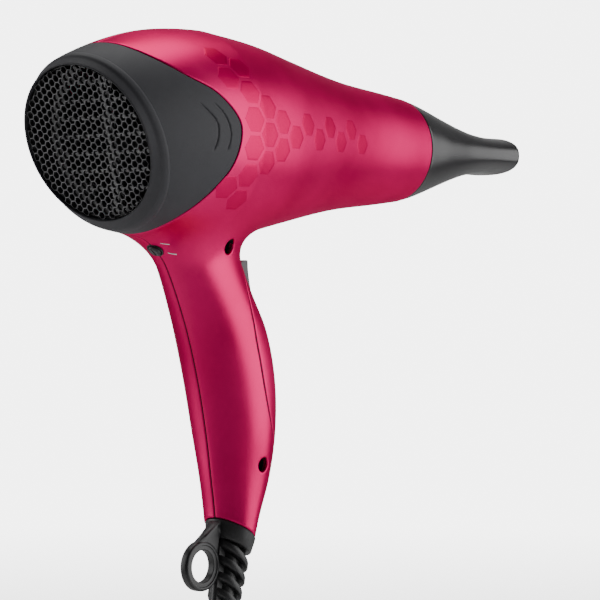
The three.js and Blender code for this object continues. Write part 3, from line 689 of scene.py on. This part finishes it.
cover_line = spline(raised(COVER_EDGE, AXIS_Z), 8)
panel_line = spline(PANEL_EDGE, 8)
in_cover = inside_outline([*cover_line, (-140, cover_line[-1][1]), (-140, cover_line[0][1])])
in_panel = inside_outline([*panel_line, (60, panel_line[-1][1]), (60, panel_line[0][1])])
arc_lines = [beside_arc(raised(points, AXIS_Z)) for points in ARCS]


def tilted(angle):
    """The directions ahead and up, tipped back by an angle in side view."""
    c, s = math.cos(angle), math.sin(angle)
    return np.array([c, 0, s]), np.array([-s, 0, c])


SIDEWAYS = np.array([0.0, 1.0, 0.0])
REAR_IN, REAR_UP = tilted(REAR_TILT)
PANEL_OUT, PANEL_UP = tilted(ROCKER_TILT)
SELECTOR_DOWN, SELECTOR_IN = tilted(-SELECTOR_TILT)
RELIEF_AHEAD, RELIEF_BACK = tilted(-RELIEF_LEAN)
REAR_OUT = -REAR_IN
SELECTOR_OUT = -SELECTOR_IN
SELECTOR_UP = -SELECTOR_DOWN
RELIEF_DOWN = -RELIEF_BACK
FOOT_SLOPE = (FOOT_FRONT[1] - FOOT_REAR[1]) / (FOOT_FRONT[0] - FOOT_REAR[0])
FAR = 50.0

# Each of the functions below is positive where its piece keeps its skin, in millimetres from the cut.


def above_foot(p):
    return (p[:, 2] - FOOT_REAR[1] - FOOT_SLOPE * (p[:, 0] - FOOT_REAR[0])) / math.hypot(1, FOOT_SLOPE)


def before_outlet(p):
    return SHELL_END - p[:, 0]


def ahead_of_rim(depth):
    return lambda p: -((p - REAR_CENTRE) @ REAR_OUT) - depth


def outside_screw(spot):
    x, z = spot

    def field(p):
        away = np.hypot(p[:, 0] - x, p[:, 2] - z) - RECESS_R
        return np.where(p[:, 1] < -5, away, FAR)

    return field


def outside_selector(p):
    q = p - SELECTOR_CENTRE
    out = q @ SELECTOR_OUT
    away = np.hypot(q @ SELECTOR_UP, q[:, 1]) - SELECTOR_R
    return np.where(np.abs(out) < 8, away, FAR)


def outside_windows(p):
    q = p - ROCKER_CENTRE
    up = np.abs(q @ PANEL_UP) - WINDOW_UP + WINDOW_CORNER
    across = np.abs(np.abs(q[:, 1]) - ROCKER_OFFSET) - WINDOW_ACROSS + WINDOW_CORNER
    away = np.hypot(np.maximum(up, 0), np.maximum(across, 0)) + np.minimum(np.maximum(up, across), 0)
    return np.where(q @ PANEL_OUT > -8, away - WINDOW_CORNER, FAR)


def beside(side):
    return lambda p: side * p[:, 1] - SEAM / 2


def off_cover(p):
    return -in_cover(p) - SEAM


def off_panel(p):
    return -in_panel(p)


def in_panel_gap(p):
    return in_panel(p) - SEAM


# ---- shells ----


def screw_recess(spot):
    """The blind hole that a shell screw sits in, as a thin sleeve with a seat."""
    x, z = spot
    turn = circle(40)
    radius = RECESS_R - 0.05
    ring = np.column_stack([x + radius * np.cos(turn), np.full(40, RECESS_Y), z + radius * np.sin(turn)])
    mouth = ring.copy()
    for _ in range(40):
        mouth[:, 1] -= np.clip(-body_gap(mouth), 0, 2)
    mouth[:, 1] += 0.6
    seat = (ring - (x, 0, z)) * (0.45, 1, 0.45) + (x, 0, z)
    return loft([mouth, ring, seat], (False, False))


TONGUE_REACH = 1.1
TONGUE_TOP = 0.28
TONGUE_FLOOR = 1.2


def near_seam(p):
    """Positive beside the front panel's edge, and beside the middle plane outside the panel."""
    return TONGUE_REACH - np.minimum(np.abs(in_panel(p)), np.where(in_panel(p) > 0, FAR, np.abs(p[:, 1])))


def seam_tongue(skin):
    """The tongue that closes the seams of the handle and barrel from inside; its near black colour is
    painted shade in the seam gaps.
    """
    spots, faces = skin
    for field in (off_cover, above_foot, before_outlet, outside_selector, near_seam):
        spots, faces = kept(*split(spots, faces, field))
    way = unit(slope_of(body_gap, spots))
    return walled(spots - way * TONGUE_TOP, spots - way * TONGUE_FLOOR, faces)


def add_shells(skin):
    """The two body shells, the front panel, the screw recesses and the tongue in the seams, near black as
    painted shade.
    """
    common = [off_cover, off_panel, above_foot, before_outlet, outside_selector]
    left = shell_piece(skin, [beside(-1), *common, *(outside_screw(s) for s in SCREWS.values())])
    piece("left_shell", left, PINK, replaces=("body_shell_left",))
    wells = joined([screw_recess(s) for s in SCREWS.values()])
    piece("screw_wells", wells, MOULDING, sharp=60)
    right = shell_piece(skin, [beside(1), *common])
    piece("right_shell", right, PINK, replaces=("body_shell_right",))
    piece("seam_tongue", seam_tongue(skin), SEAM_SHADE, sharp=60)
    panel = shell_piece(skin, [in_panel_gap, outside_windows])
    piece("front_panel", panel, PINK, replaces=("handle_front_panel",))


RIM_DEPTH = 5.6
GROOVE_DEPTH = 0.42


def skin_radius(depth, way):
    """How far the barrel's skin is from the rear face's axis, along each direction, at a depth."""
    reach = np.full(len(way), 38.0)
    centre = REAR_CENTRE - REAR_OUT * depth
    for _ in range(25):
        reach = reach - 0.8 * barrel_gap(centre + way * reach[:, None])
    return reach


def rear_rim():
    """Soft-edged ring round the grille: outer skin, ridge, sloping face, lip and bore."""
    turn = circle(240)
    way = np.cos(turn)[:, None] * SIDEWAYS + np.sin(turn)[:, None] * REAR_UP
    bore = GRILLE_R + 0.4
    ridge = skin_radius(4.3, way)
    rings = []

    def ring(depth, radius):
        rings.append(REAR_CENTRE - REAR_OUT * depth + way * np.asarray(radius).reshape(-1, 1))

    for depth, inset in ((7, WALL), (7, 0.1), (6.95, -0.01), (6, -0.02), (5.2, 0), (4.7, 0.05)):
        ring(depth, skin_radius(depth, way) - inset)
    for depth, inset in ((4.3, 0.18), (3.95, 0.4), (3.6, 0.72)):
        ring(depth, ridge - inset)
    face = ridge - 0.72
    for depth, part in ((2.9, 0.24), (2.1, 0.5), (1.3, 0.74), (0.7, 0.92)):
        ring(depth, face + (bore + 0.8 - face) * part)
    for depth, out in ((0.35, 0.75), (0.12, 0.6), (0.05, 0.35), (0.15, 0.1), (0.45, 0), (5, 0), (6, 0.6)):
        ring(depth, np.full(len(way), bore + out))
    ring(6, skin_radius(6, way) - WALL - 0.2)
    rings.append(rings[0])
    spots, faces = loft(rings, (False, False))
    return spots, [face[::-1] for face in faces]


def add_cover(skin):
    shape = shell_piece(skin, [in_cover, ahead_of_rim(RIM_DEPTH)], 0.55, arc_lines)
    piece("cover_shell", shape, CHARCOAL, body="rear_cover", replaces=("rear_cover",))
    piece("cover_rim", rear_rim(), CHARCOAL, body="rear_cover")


HEXAGON = np.array([(math.cos(turn), math.sin(turn)) for turn in np.radians(np.arange(0, 360, 60))])
HEX_PITCH = 3.3
HEX_WALL = 0.44
GRILLE_FRONT = 0.8


def honeycomb(rows):
    """A field of hexagonal holes. rows gives the size and depth of the rings of each one."""
    spots, faces = [], []
    reach = GRILLE_R - 1.0
    for column in range(-14, 15):
        for row in range(-13, 14):
            across = column * HEX_PITCH * math.sqrt(3) / 2
            up = (row + 0.5 * (column % 2)) * HEX_PITCH
            if math.hypot(across, up) > reach:
                continue
            start = len(spots)
            for radius, depth in rows:
                for cx, cy in HEXAGON * radius:
                    spots.append((across + cx, up + cy, GRILLE_FRONT + depth))
            faces.extend(strips(len(rows), 6, True, start))
    spots = np.array(spots)
    distance = np.hypot(spots[:, 0], spots[:, 1])
    limit = GRILLE_R - 0.15
    pull = np.where(distance > limit, limit / np.maximum(distance, 1e-9), 1)
    spots[:, :2] *= pull[:, None]
    placed = (REAR_CENTRE + spots[:, :1] * SIDEWAYS + spots[:, 1:2] * REAR_UP
              - spots[:, 2:] * REAR_OUT)
    return placed, faces


def add_grille():
    """The honeycomb: dark walls with an edge ring, and paler faces on their rims as a painted highlight."""
    edge = [(-2.2, 0.15), (-2.15, 0.4), (-2.25, 0.7), (-2.6, 0.8), (-3.0, 0.8), (-3.3, 0.6),
            (-3.4, 0.15), (-2.2, 0.15)]
    edge = [(out, GRILLE_R - inset) for out, inset in edge]
    ring = turned(edge, REAR_CENTRE, REAR_OUT, SIDEWAYS, 160)
    size = HEX_PITCH / math.sqrt(3)
    hole = (HEX_PITCH - HEX_WALL) / math.sqrt(3)
    walls = honeycomb(((hole + 0.1, 0.12), (hole, 0.3), (hole, 1.5), (size, 1.6)))
    piece("intake_mesh", joined([walls, ring]), MOULDING, body="rear_cover", sharp=35,
          replaces=("rear_grille",))
    # the rims' faces take the paler grey, a painted highlight on black plastic
    face = honeycomb(((size, 0.0), (size - 0.08, -0.04), (hole + 0.12, -0.04), (hole + 0.02, 0.16)))
    piece("mesh_face_painted_highlight", face, GRILLE_HIGHLIGHT, body="rear_cover", sharp=60)


# ---- nozzle ----


def nozzle_ring(x, inset=0.0, steps=144):
    """One section: an ellipse at the inlet that grows a little squarer towards the lip."""
    wide, high = nozzle_at(min(x, NOZZLE_END))
    power = 2 / (2 + 0.5 * float(ease(x, 130, 180)))
    turn = circle(steps)
    y = np.sign(np.cos(turn)) * np.abs(np.cos(turn)) ** power * (wide - inset)
    z = np.sign(np.sin(turn)) * np.abs(np.sin(turn)) ** power * (high - inset)
    return np.column_stack([np.full(steps, float(x)), y, z + AXIS_Z])


def add_nozzle():
    """The nozzle: outer skin, rounded lip and bore."""
    start = SHELL_END + 0.35
    rings = [nozzle_ring(start + x, inset) for x, inset in ((0, 1.3), (0, 0.5), (0.1, 0.22), (0.3, 0.06))]
    rings += [nozzle_ring(x) for x in np.linspace(start + 0.6, NOZZLE_END - 1.0, 90)]
    lip = ((0.7, 0.06), (0.35, 0.25), (0.1, 0.55), (0, 0.85), (0.1, 1.2), (0.4, 1.5), (0.9, 1.7))
    rings += [nozzle_ring(NOZZLE_END - back, inset) for back, inset in lip]
    bore = SPIGOT_R + 0.45
    for x in np.linspace(NOZZLE_END - 3, start, 60):
        ring = nozzle_ring(x, 1.7)
        out = ring[:, 1:] - (0, AXIS_Z)
        size = np.linalg.norm(out, axis=1, keepdims=True)
        ring[:, 1:] = (0, AXIS_Z) + out * np.minimum(1, bore / size)
        rings.append(ring)
    rings.append(rings[0])
    spots, faces = loft(rings, (False, False))
    piece("nozzle_body", (spots, [face[::-1] for face in faces]), GLOSS, body="nozzle",
          sharp=50, replaces=("concentrator_nozzle",))


# ---- inlays and marks ----

# Hexagons on the barrel's side: place along the barrel, half steps up it
CELLS = [(0, 6), (0, 4), (0, -4), (1, 5), (1, 3), (1, 1), (1, -1), (1, -3), (1, -5), (2, 2), (2, 0),
         (2, -2), (3, 1), (3, -1), (4, 0), (5, 1), (6, 0), (7, 1), (8, 0), (9, 1), (10, 0)]
CELL_FIRST = (-44.5, -1.2)
CELL_STEP = (9.8, 5.95)
INLAY_LIFT = 0.02


def on_barrel(x, arc, side, lift):
    """A point on the barrel's skin, arc millimetres up from its side."""
    radius = barrel_radius(x) + lift
    turn = arc / barrel_radius(x)
    return np.stack([x, side * radius * np.cos(turn), AXIS_Z + radius * np.sin(turn)], -1)


def inlay(column, row, side):
    """One thin hexagon that follows the barrel's curve, with a bevelled edge."""
    x0 = CELL_FIRST[0] + CELL_STEP[0] * column
    arc0 = CELL_FIRST[1] + CELL_STEP[1] * row
    radius = (10.4 - 0.19 * column) / math.sqrt(3)
    edge = np.concatenate([a + (b - a) * np.linspace(0, 1, 6, endpoint=False)[:, None]
                           for a, b in zip(HEXAGON, np.roll(HEXAGON, -1, axis=0))])
    rings = []
    rims = [(1, -0.05), (0.995, 0.0), *((size, INLAY_LIFT) for size in (0.97, 0.75, 0.5, 0.25, 0.001))]
    for size, lift in rims:
        flat = edge * radius * size
        rings.append(on_barrel(x0 + flat[:, 0], arc0 + flat[:, 1], side, lift))
    spots, faces = loft(rings, (False, False))
    return spots, faces if side < 0 else [face[::-1] for face in faces]


def add_inlays():
    for side, name in ((-1, "left"), (1, "right")):
        shape = joined([inlay(column, row, side) for column, row in CELLS])
        piece(f"hex_inlays_{name}", shape, INLAY)


def add_marks():
    """Two plain ticks beside the selector's two positions."""
    ticks = []
    for x, y, z in ((-48.8, -7.1, 60.4), (-44, -6.7, 55.9)):
        rows = [[(x + 0.75 * across, y - 0.65 * across, z + along) for across in np.linspace(-2.0, 2.0, 7)]
                for along in np.linspace(-0.4, 0.4, 3)]
        grid = np.array([settle(np.array(row), body_gap, 4) for row in rows])
        way = unit(slope_of(body_gap, grid.reshape(-1, 3))).reshape(grid.shape)
        spots = np.concatenate([(grid + way * 0.08).reshape(-1, 3), (grid - way * 0.1).reshape(-1, 3)])
        quads = np.array(strips(3, 7, False))
        faces = np.concatenate([quads[:, [0, 1, 2]], quads[:, [0, 2, 3]]])
        ticks.append(walled(spots[:21], spots[21:], faces))
    piece("position_marks", joined(ticks), MARK)


# ---- switches ----


def rocker_shape(side):
    """A rocker: rounded ends on arcs about its pivot and a shallow dip in its face."""
    ends = []
    for first, last in ((0.46, 0.0), (math.pi + 0.14, math.pi - 0.11)):
        turn = np.linspace(first, last, 5)
        ends.append(list(zip(ROCKER_PIVOT + ROCKER_REACH * np.sin(turn), ROCKER_REACH * np.cos(turn))))
    upper, lower = ends
    face = [(0.15, -6.5), (0.45, -3), (0.9, 0), (1.5, 3.5), (2.2, 6.5)]
    profile = upper + [(-3.2, 6), (-3.2, -6)] + lower + face
    rings = []
    for y in (-ROCKER_WIDTH / 2, ROCKER_WIDTH / 2):
        rings.append([ROCKER_CENTRE + PANEL_OUT * (out - ROCKER_SINK) + PANEL_UP * up
                      + SIDEWAYS * (side * ROCKER_OFFSET + y) for out, up in profile])
    return loft(rings)


def add_switches():
    """The two rockers, and the voltage selector in its well."""
    for name, body, side in (("speed_key", "speed_rocker", -1), ("heat_key", "heat_rocker", 1)):
        key = piece(name, rocker_shape(side), GREY, body=body, sharp=30, replaces=(body,))
        soften(key, 0.55)
    profile = [(-5.6, 0.0), (-5.6, 1.6), (-2.2, 1.6), (-2.2, 2.6), (-1.9, KNOB_R), (0.0, KNOB_R), (0.3, 2.7),
               (0.45, 2.45), (0.45, 2.3), (0.3, 2.2), (0.28, 0.0)]
    knob = turned(profile, SELECTOR_CENTRE, SELECTOR_OUT, SIDEWAYS, 64)
    piece("selector_knob", joined([knob, slot_bar()]), KNOB, body="voltage_selector",
          sharp=40, replaces=("voltage_selector",))
    well = [(-0.75, 3.9), (-0.4, 3.7), (-0.4, 3.35), (-0.6, 3.2), (-4.5, 3.15), (-4.6, 1.9)]
    ring = turned(well, SELECTOR_CENTRE, SELECTOR_OUT, SIDEWAYS, 64)
    piece("selector_well", ring, MOULDING, sharp=60)


def slot_bar():
    """The coin slot's two raised cheeks on the knob's face."""
    parts = []
    for side in (-1, 1):
        rings = []
        for out in (0.2, 0.5, 0.58):
            edge = [(side * 0.45, 1.95 * u) for u in np.linspace(-1, 1, 13)]
            edge += [(side * (0.45 + 1.6 * math.sqrt(max(1 - u * u, 0.04))), 1.95 * u)
                     for u in np.linspace(1, -1, 13)]
            taper = 1.02 - 0.1 * out
            rings.append([SELECTOR_CENTRE + SELECTOR_OUT * out + SIDEWAYS * a * taper
                          + SELECTOR_UP * b * taper for a, b in edge])
        parts.append(loft(rings, (False, True)))
    return joined(parts)


# ---- strain relief and hanging loop ----

# How far the foot's slope is from a square section of the relief, and where it crosses the axis
FOOT_TILT = math.tan(-math.atan(FOOT_SLOPE) - RELIEF_LEAN)
FOOT_DROP = 3.1


def relief_ring(distance, long, wide, tilt=0.0, steps=48):
    """A section of the relief. tilt lowers its front edge."""
    turn = circle(steps)
    ahead = np.cos(turn)[:, None]
    return (RELIEF_TOP + RELIEF_DOWN * distance + ahead * long * (RELIEF_AHEAD + RELIEF_DOWN * tilt)
            + np.sin(turn)[:, None] * wide * SIDEWAYS)


def relief_collar():
    """The short cup that continues the handle below its foot."""
    rows = [(-3.2, 9.0, 10.2), (-0.1, 10.5, 11.5), (0.25, 10.75, 11.7), (3, 10.3, 11.2), (6.2, 9.7, 10.5),
            (6.8, 9.4, 10.2), (7.1, 8.8, 9.6), (7.0, 6.2, 7.4)]
    return loft([relief_ring(distance + FOOT_DROP, long, wide, FOOT_TILT) - (0.8, 0, 0)
                 for distance, long, wide in rows])


def relief_band(number):
    """One slanted band with rounded edges."""
    start = RELIEF_COLLAR + 2.6 + number * RELIEF_PITCH
    size = BAND_FIRST_R + (BAND_LAST_R - BAND_FIRST_R) * number / (RELIEF_BANDS - 1)
    rows = [(0, 0.55), (0.05, 0.88), (0.3, 0.975), (0.8, 1.0), (2.6, 1.0), (3.2, 0.97), (3.5, 0.88),
            (3.55, 0.55)]
    return loft([relief_ring(start + d, size * scale, size * scale, BAND_TILT) for d, scale in rows])


def relief_rib(turn, first, last, width, reach):
    """A rib along the relief, joining its bands, at a turn from its front."""
    out = math.cos(turn) * RELIEF_AHEAD + math.sin(turn) * SIDEWAYS
    across = -math.sin(turn) * RELIEF_AHEAD + math.cos(turn) * SIDEWAYS
    rings = []
    for distance in np.linspace(first, last, 16):
        t = (distance - RELIEF_COLLAR) / (RELIEF_LENGTH - RELIEF_COLLAR)
        top = (BAND_FIRST_R + (BAND_LAST_R - BAND_FIRST_R) * t) * reach
        centre = RELIEF_TOP + RELIEF_DOWN * distance
        rings.append([centre + out * r + across * w for r, w in (
            (3, -width), (top - 0.5, -width * 0.75), (top, -width * 0.35), (top, width * 0.35),
            (top - 0.5, width * 0.75), (3, width))])
    return loft(rings)


def relief_core():
    """The thin tube inside the bands."""
    rows = [(8, 5.4, 5.8), (20, 4.9, 5.2), (40, 4.5, 4.6), (48, 4.5, 4.5), (49.5, 4.4, 4.4),
            (49.9, 4.1, 4.1), (49.9, 3.5, 3.5)]
    return loft([relief_ring(*row) for row in rows])


def add_relief():
    """The strain relief: collar, core, bands and three ribs."""
    parts = [relief_collar(), relief_core(), *(relief_band(i) for i in range(RELIEF_BANDS))]
    tail = 48
    parts.append(relief_rib(math.pi, RELIEF_COLLAR, tail, 2.2, 1.0))
    for turn in (-1.15, 1.15):
        parts.append(relief_rib(turn, RELIEF_COLLAR, tail - 4, 1.1, 0.86))
    piece("relief_boot", joined(parts), RUBBER, sharp=38, replaces=("strain_relief",))


def loop_ring():
    """The hanging ring: a flat face with a raised outer bead."""
    profile = [(-1.55, 7.0), (-1.85, 7.25), (-1.9, 7.6), (-1.75, 8.6), (-1.75, 8.9), (-2.2, 9.15),
               (-2.25, 9.6), (-2.05, 10.3), (-1.6, 10.7), (-1.0, 10.8)]
    profile += [(-d, r) for d, r in reversed(profile)]
    profile.append(profile[0])
    return turned(profile, LOOP_CENTRE, SIDEWAYS, (1, 0, 0), 96)


def loop_strap():
    """The strap flares from the relief's collar to the ring's sides."""
    upper = spline([(-9.4, -58.4), (-11.5, -59.9), (-16.5, -63.4), (-22.0, -67.0)], 6)
    lower = spline([(-5.4, -60.4), (-8.2, -63.8), (-8.6, -68.6), (-8.6, -74.5)], 6)
    face = [(0, 0.6), (0.06, 0.92), (0.16, 1), (0.5, 0.82), (0.84, 1), (0.94, 0.92), (1, 0.6)]
    section = [(u, -v) for u, v in face] + face[::-1]
    rings = []
    for i, ((ax, az), (bx, bz)) in enumerate(zip(upper, lower)):
        half = 3.4 - 1.7 * (i / (len(upper) - 1))
        rings.append([(ax + (bx - ax) * u, half * v, az + (bz - az) * u) for u, v in section])
    return loft(rings)


def add_loop():
    piece("hanging_ring", joined([loop_ring(), loop_strap()]), RUBBER, sharp=38,
          replaces=("hanging_loop",))


# ---- materials of the frame's own nodes ----

FINISHES = [
    # the inner guard takes the pale painted highlight
    (GUARD_HIGHLIGHT, "inner_guard"), (GLOSS, "outlet_ring"), (COIL, "heating_coil"), (BRASS, "thermostat"),
    (LIVE, "live_wire"), (NEUTRAL, "neutral_wire"),
    (MICA, "heater_sleeve mica_board_upright mica_board_level"),
    (MOULDING, "fan_duct fan_impeller motor_end_cap switch_block voltage_switch_body cord_clamp"),
    (STEEL, "motor_can motor_shaft thermal_fuse clamp_screw_1 clamp_screw_2"),
    (STEEL, "shell_screw_upper shell_screw_lower"),
]


def paint_nodes():
    """Gives the frame's inner nodes their finishes."""
    for made, names in FINISHES:
        for name in names.split():
            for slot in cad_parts[name].material_slots:
                slot.link = "OBJECT"
                slot.material = made


# ---- studio ----


WALL_GLOW = 5.0
FLOOR_GLOW = 1.4
WALL_RETURN = 0.03
SKY_SEEN = 3.0
SKY_LIGHT = 0.07


def seen_directly(tree, direct, otherwise):
    """One value where the camera looks straight at a surface and another for all other light."""
    path = node(tree, "ShaderNodeLightPath")
    value = node(tree, "ShaderNodeMapRange", **{"To Min": otherwise, "To Max": direct})
    tree.links.new(path.outputs["Is Camera Ray"], value.inputs["Value"])
    return value.outputs["Result"]


def add_studio():
    """A pale floor that curves up into a backdrop behind the dryer."""
    made = finish("studio_white", (0.86, 0.86, 0.86), (0.9, 0.9, 0.9), 0.8, grain=60, patch=3, bump=0.02)
    shader = made.node_tree.nodes["Principled BSDF"]
    shader.inputs["Emission Color"].default_value = (1, 1, 1, 1)
    tree = made.node_tree
    place = node(tree, "ShaderNodeTexCoord")
    parts = node(tree, "ShaderNodeSeparateXYZ")
    glow = node(tree, "ShaderNodeMapRange", **{"From Min": FLOOR_Z + 0.15, "From Max": FLOOR_Z + 0.4,
                                               "To Min": FLOOR_GLOW, "To Max": WALL_GLOW})
    tree.links.new(place.outputs["Object"], parts.inputs["Vector"])
    tree.links.new(parts.outputs["Z"], glow.inputs["Value"])
    seen = seen_directly(tree, 1.0, WALL_RETURN)
    strength = node(tree, "ShaderNodeMath", operation="MULTIPLY")
    tree.links.new(glow.outputs["Result"], strength.inputs[0])
    tree.links.new(seen, strength.inputs[1])
    tree.links.new(strength.outputs[0], shader.inputs["Emission Strength"])
    profile = [(-4.2, 0.0), (2.6, 0.0)]
    for turn in np.linspace(0, math.pi / 2, 24):
        profile.append((2.6 + 0.9 * math.sin(turn), 0.9 - 0.9 * math.cos(turn)))
    profile.append((3.5, 4.5))
    spots = [(*(AHEAD * along + RIGHT * across).xy, FLOOR_Z + height)
             for along, height in profile for across in (-5.0, 5.0)]
    mesh = bpy.data.meshes.new("studio")
    mesh.from_pydata(spots, [], strips(len(profile), 2, False))
    mesh.polygons.foreach_set("use_smooth", [True] * len(mesh.polygons))
    mesh.materials.append(made)
    in_scene("studio", mesh)


def add_light(name, azimuth, height, distance, size, power, tall):
    """A soft box that faces the dryer. azimuth turns from the camera's side, to the right."""
    turn = math.radians(azimuth)
    side = -AHEAD * math.cos(turn) + RIGHT * math.sin(turn)
    spot = side * distance + Vector((0, 0, height))
    data = bpy.data.lights.new(name, "AREA")
    data.shape = "RECTANGLE"
    data.size = size
    data.size_y = tall
    data.energy = power
    light = in_scene(name, data)
    light.location = spot
    aim = Vector((0.01, 0, 0.05)) - spot
    light.rotation_mode = "QUATERNION"
    light.rotation_quaternion = aim.to_track_quat("-Z", "Y")
    light.visible_camera = False


def add_lights():
    """A key on the nozzle's side, a fill on the grille's side, a top light and a dim sky."""
    add_light("key", 84, 0.28, 1.5, 1.9, 27, 1.7)
    add_light("fill", -97, 0.3, 1.6, 0.9, 12.5, 1.4)
    add_light("top", -172, 1.8, 0.55, 1.7, 23, 1.2)
    world = bpy.data.worlds.new("studio_world")
    world.use_nodes = True
    tree = world.node_tree
    sky = tree.nodes["Background"]
    sky.inputs["Color"].default_value = (1, 1, 1, 1)
    tree.links.new(seen_directly(tree, SKY_SEEN, SKY_LIGHT), sky.inputs["Strength"])
    bpy.context.scene.world = world


# ---- all of it ----

body_skin = surface_net(body_gap, (-106, -48, -70), (121, 48, 155), SKIN_STEP)
add_shells(body_skin)
add_cover(body_skin)
add_grille()
add_nozzle()
add_inlays()
add_marks()
add_switches()
add_relief()
add_loop()
paint_nodes()
add_studio()
add_lights()
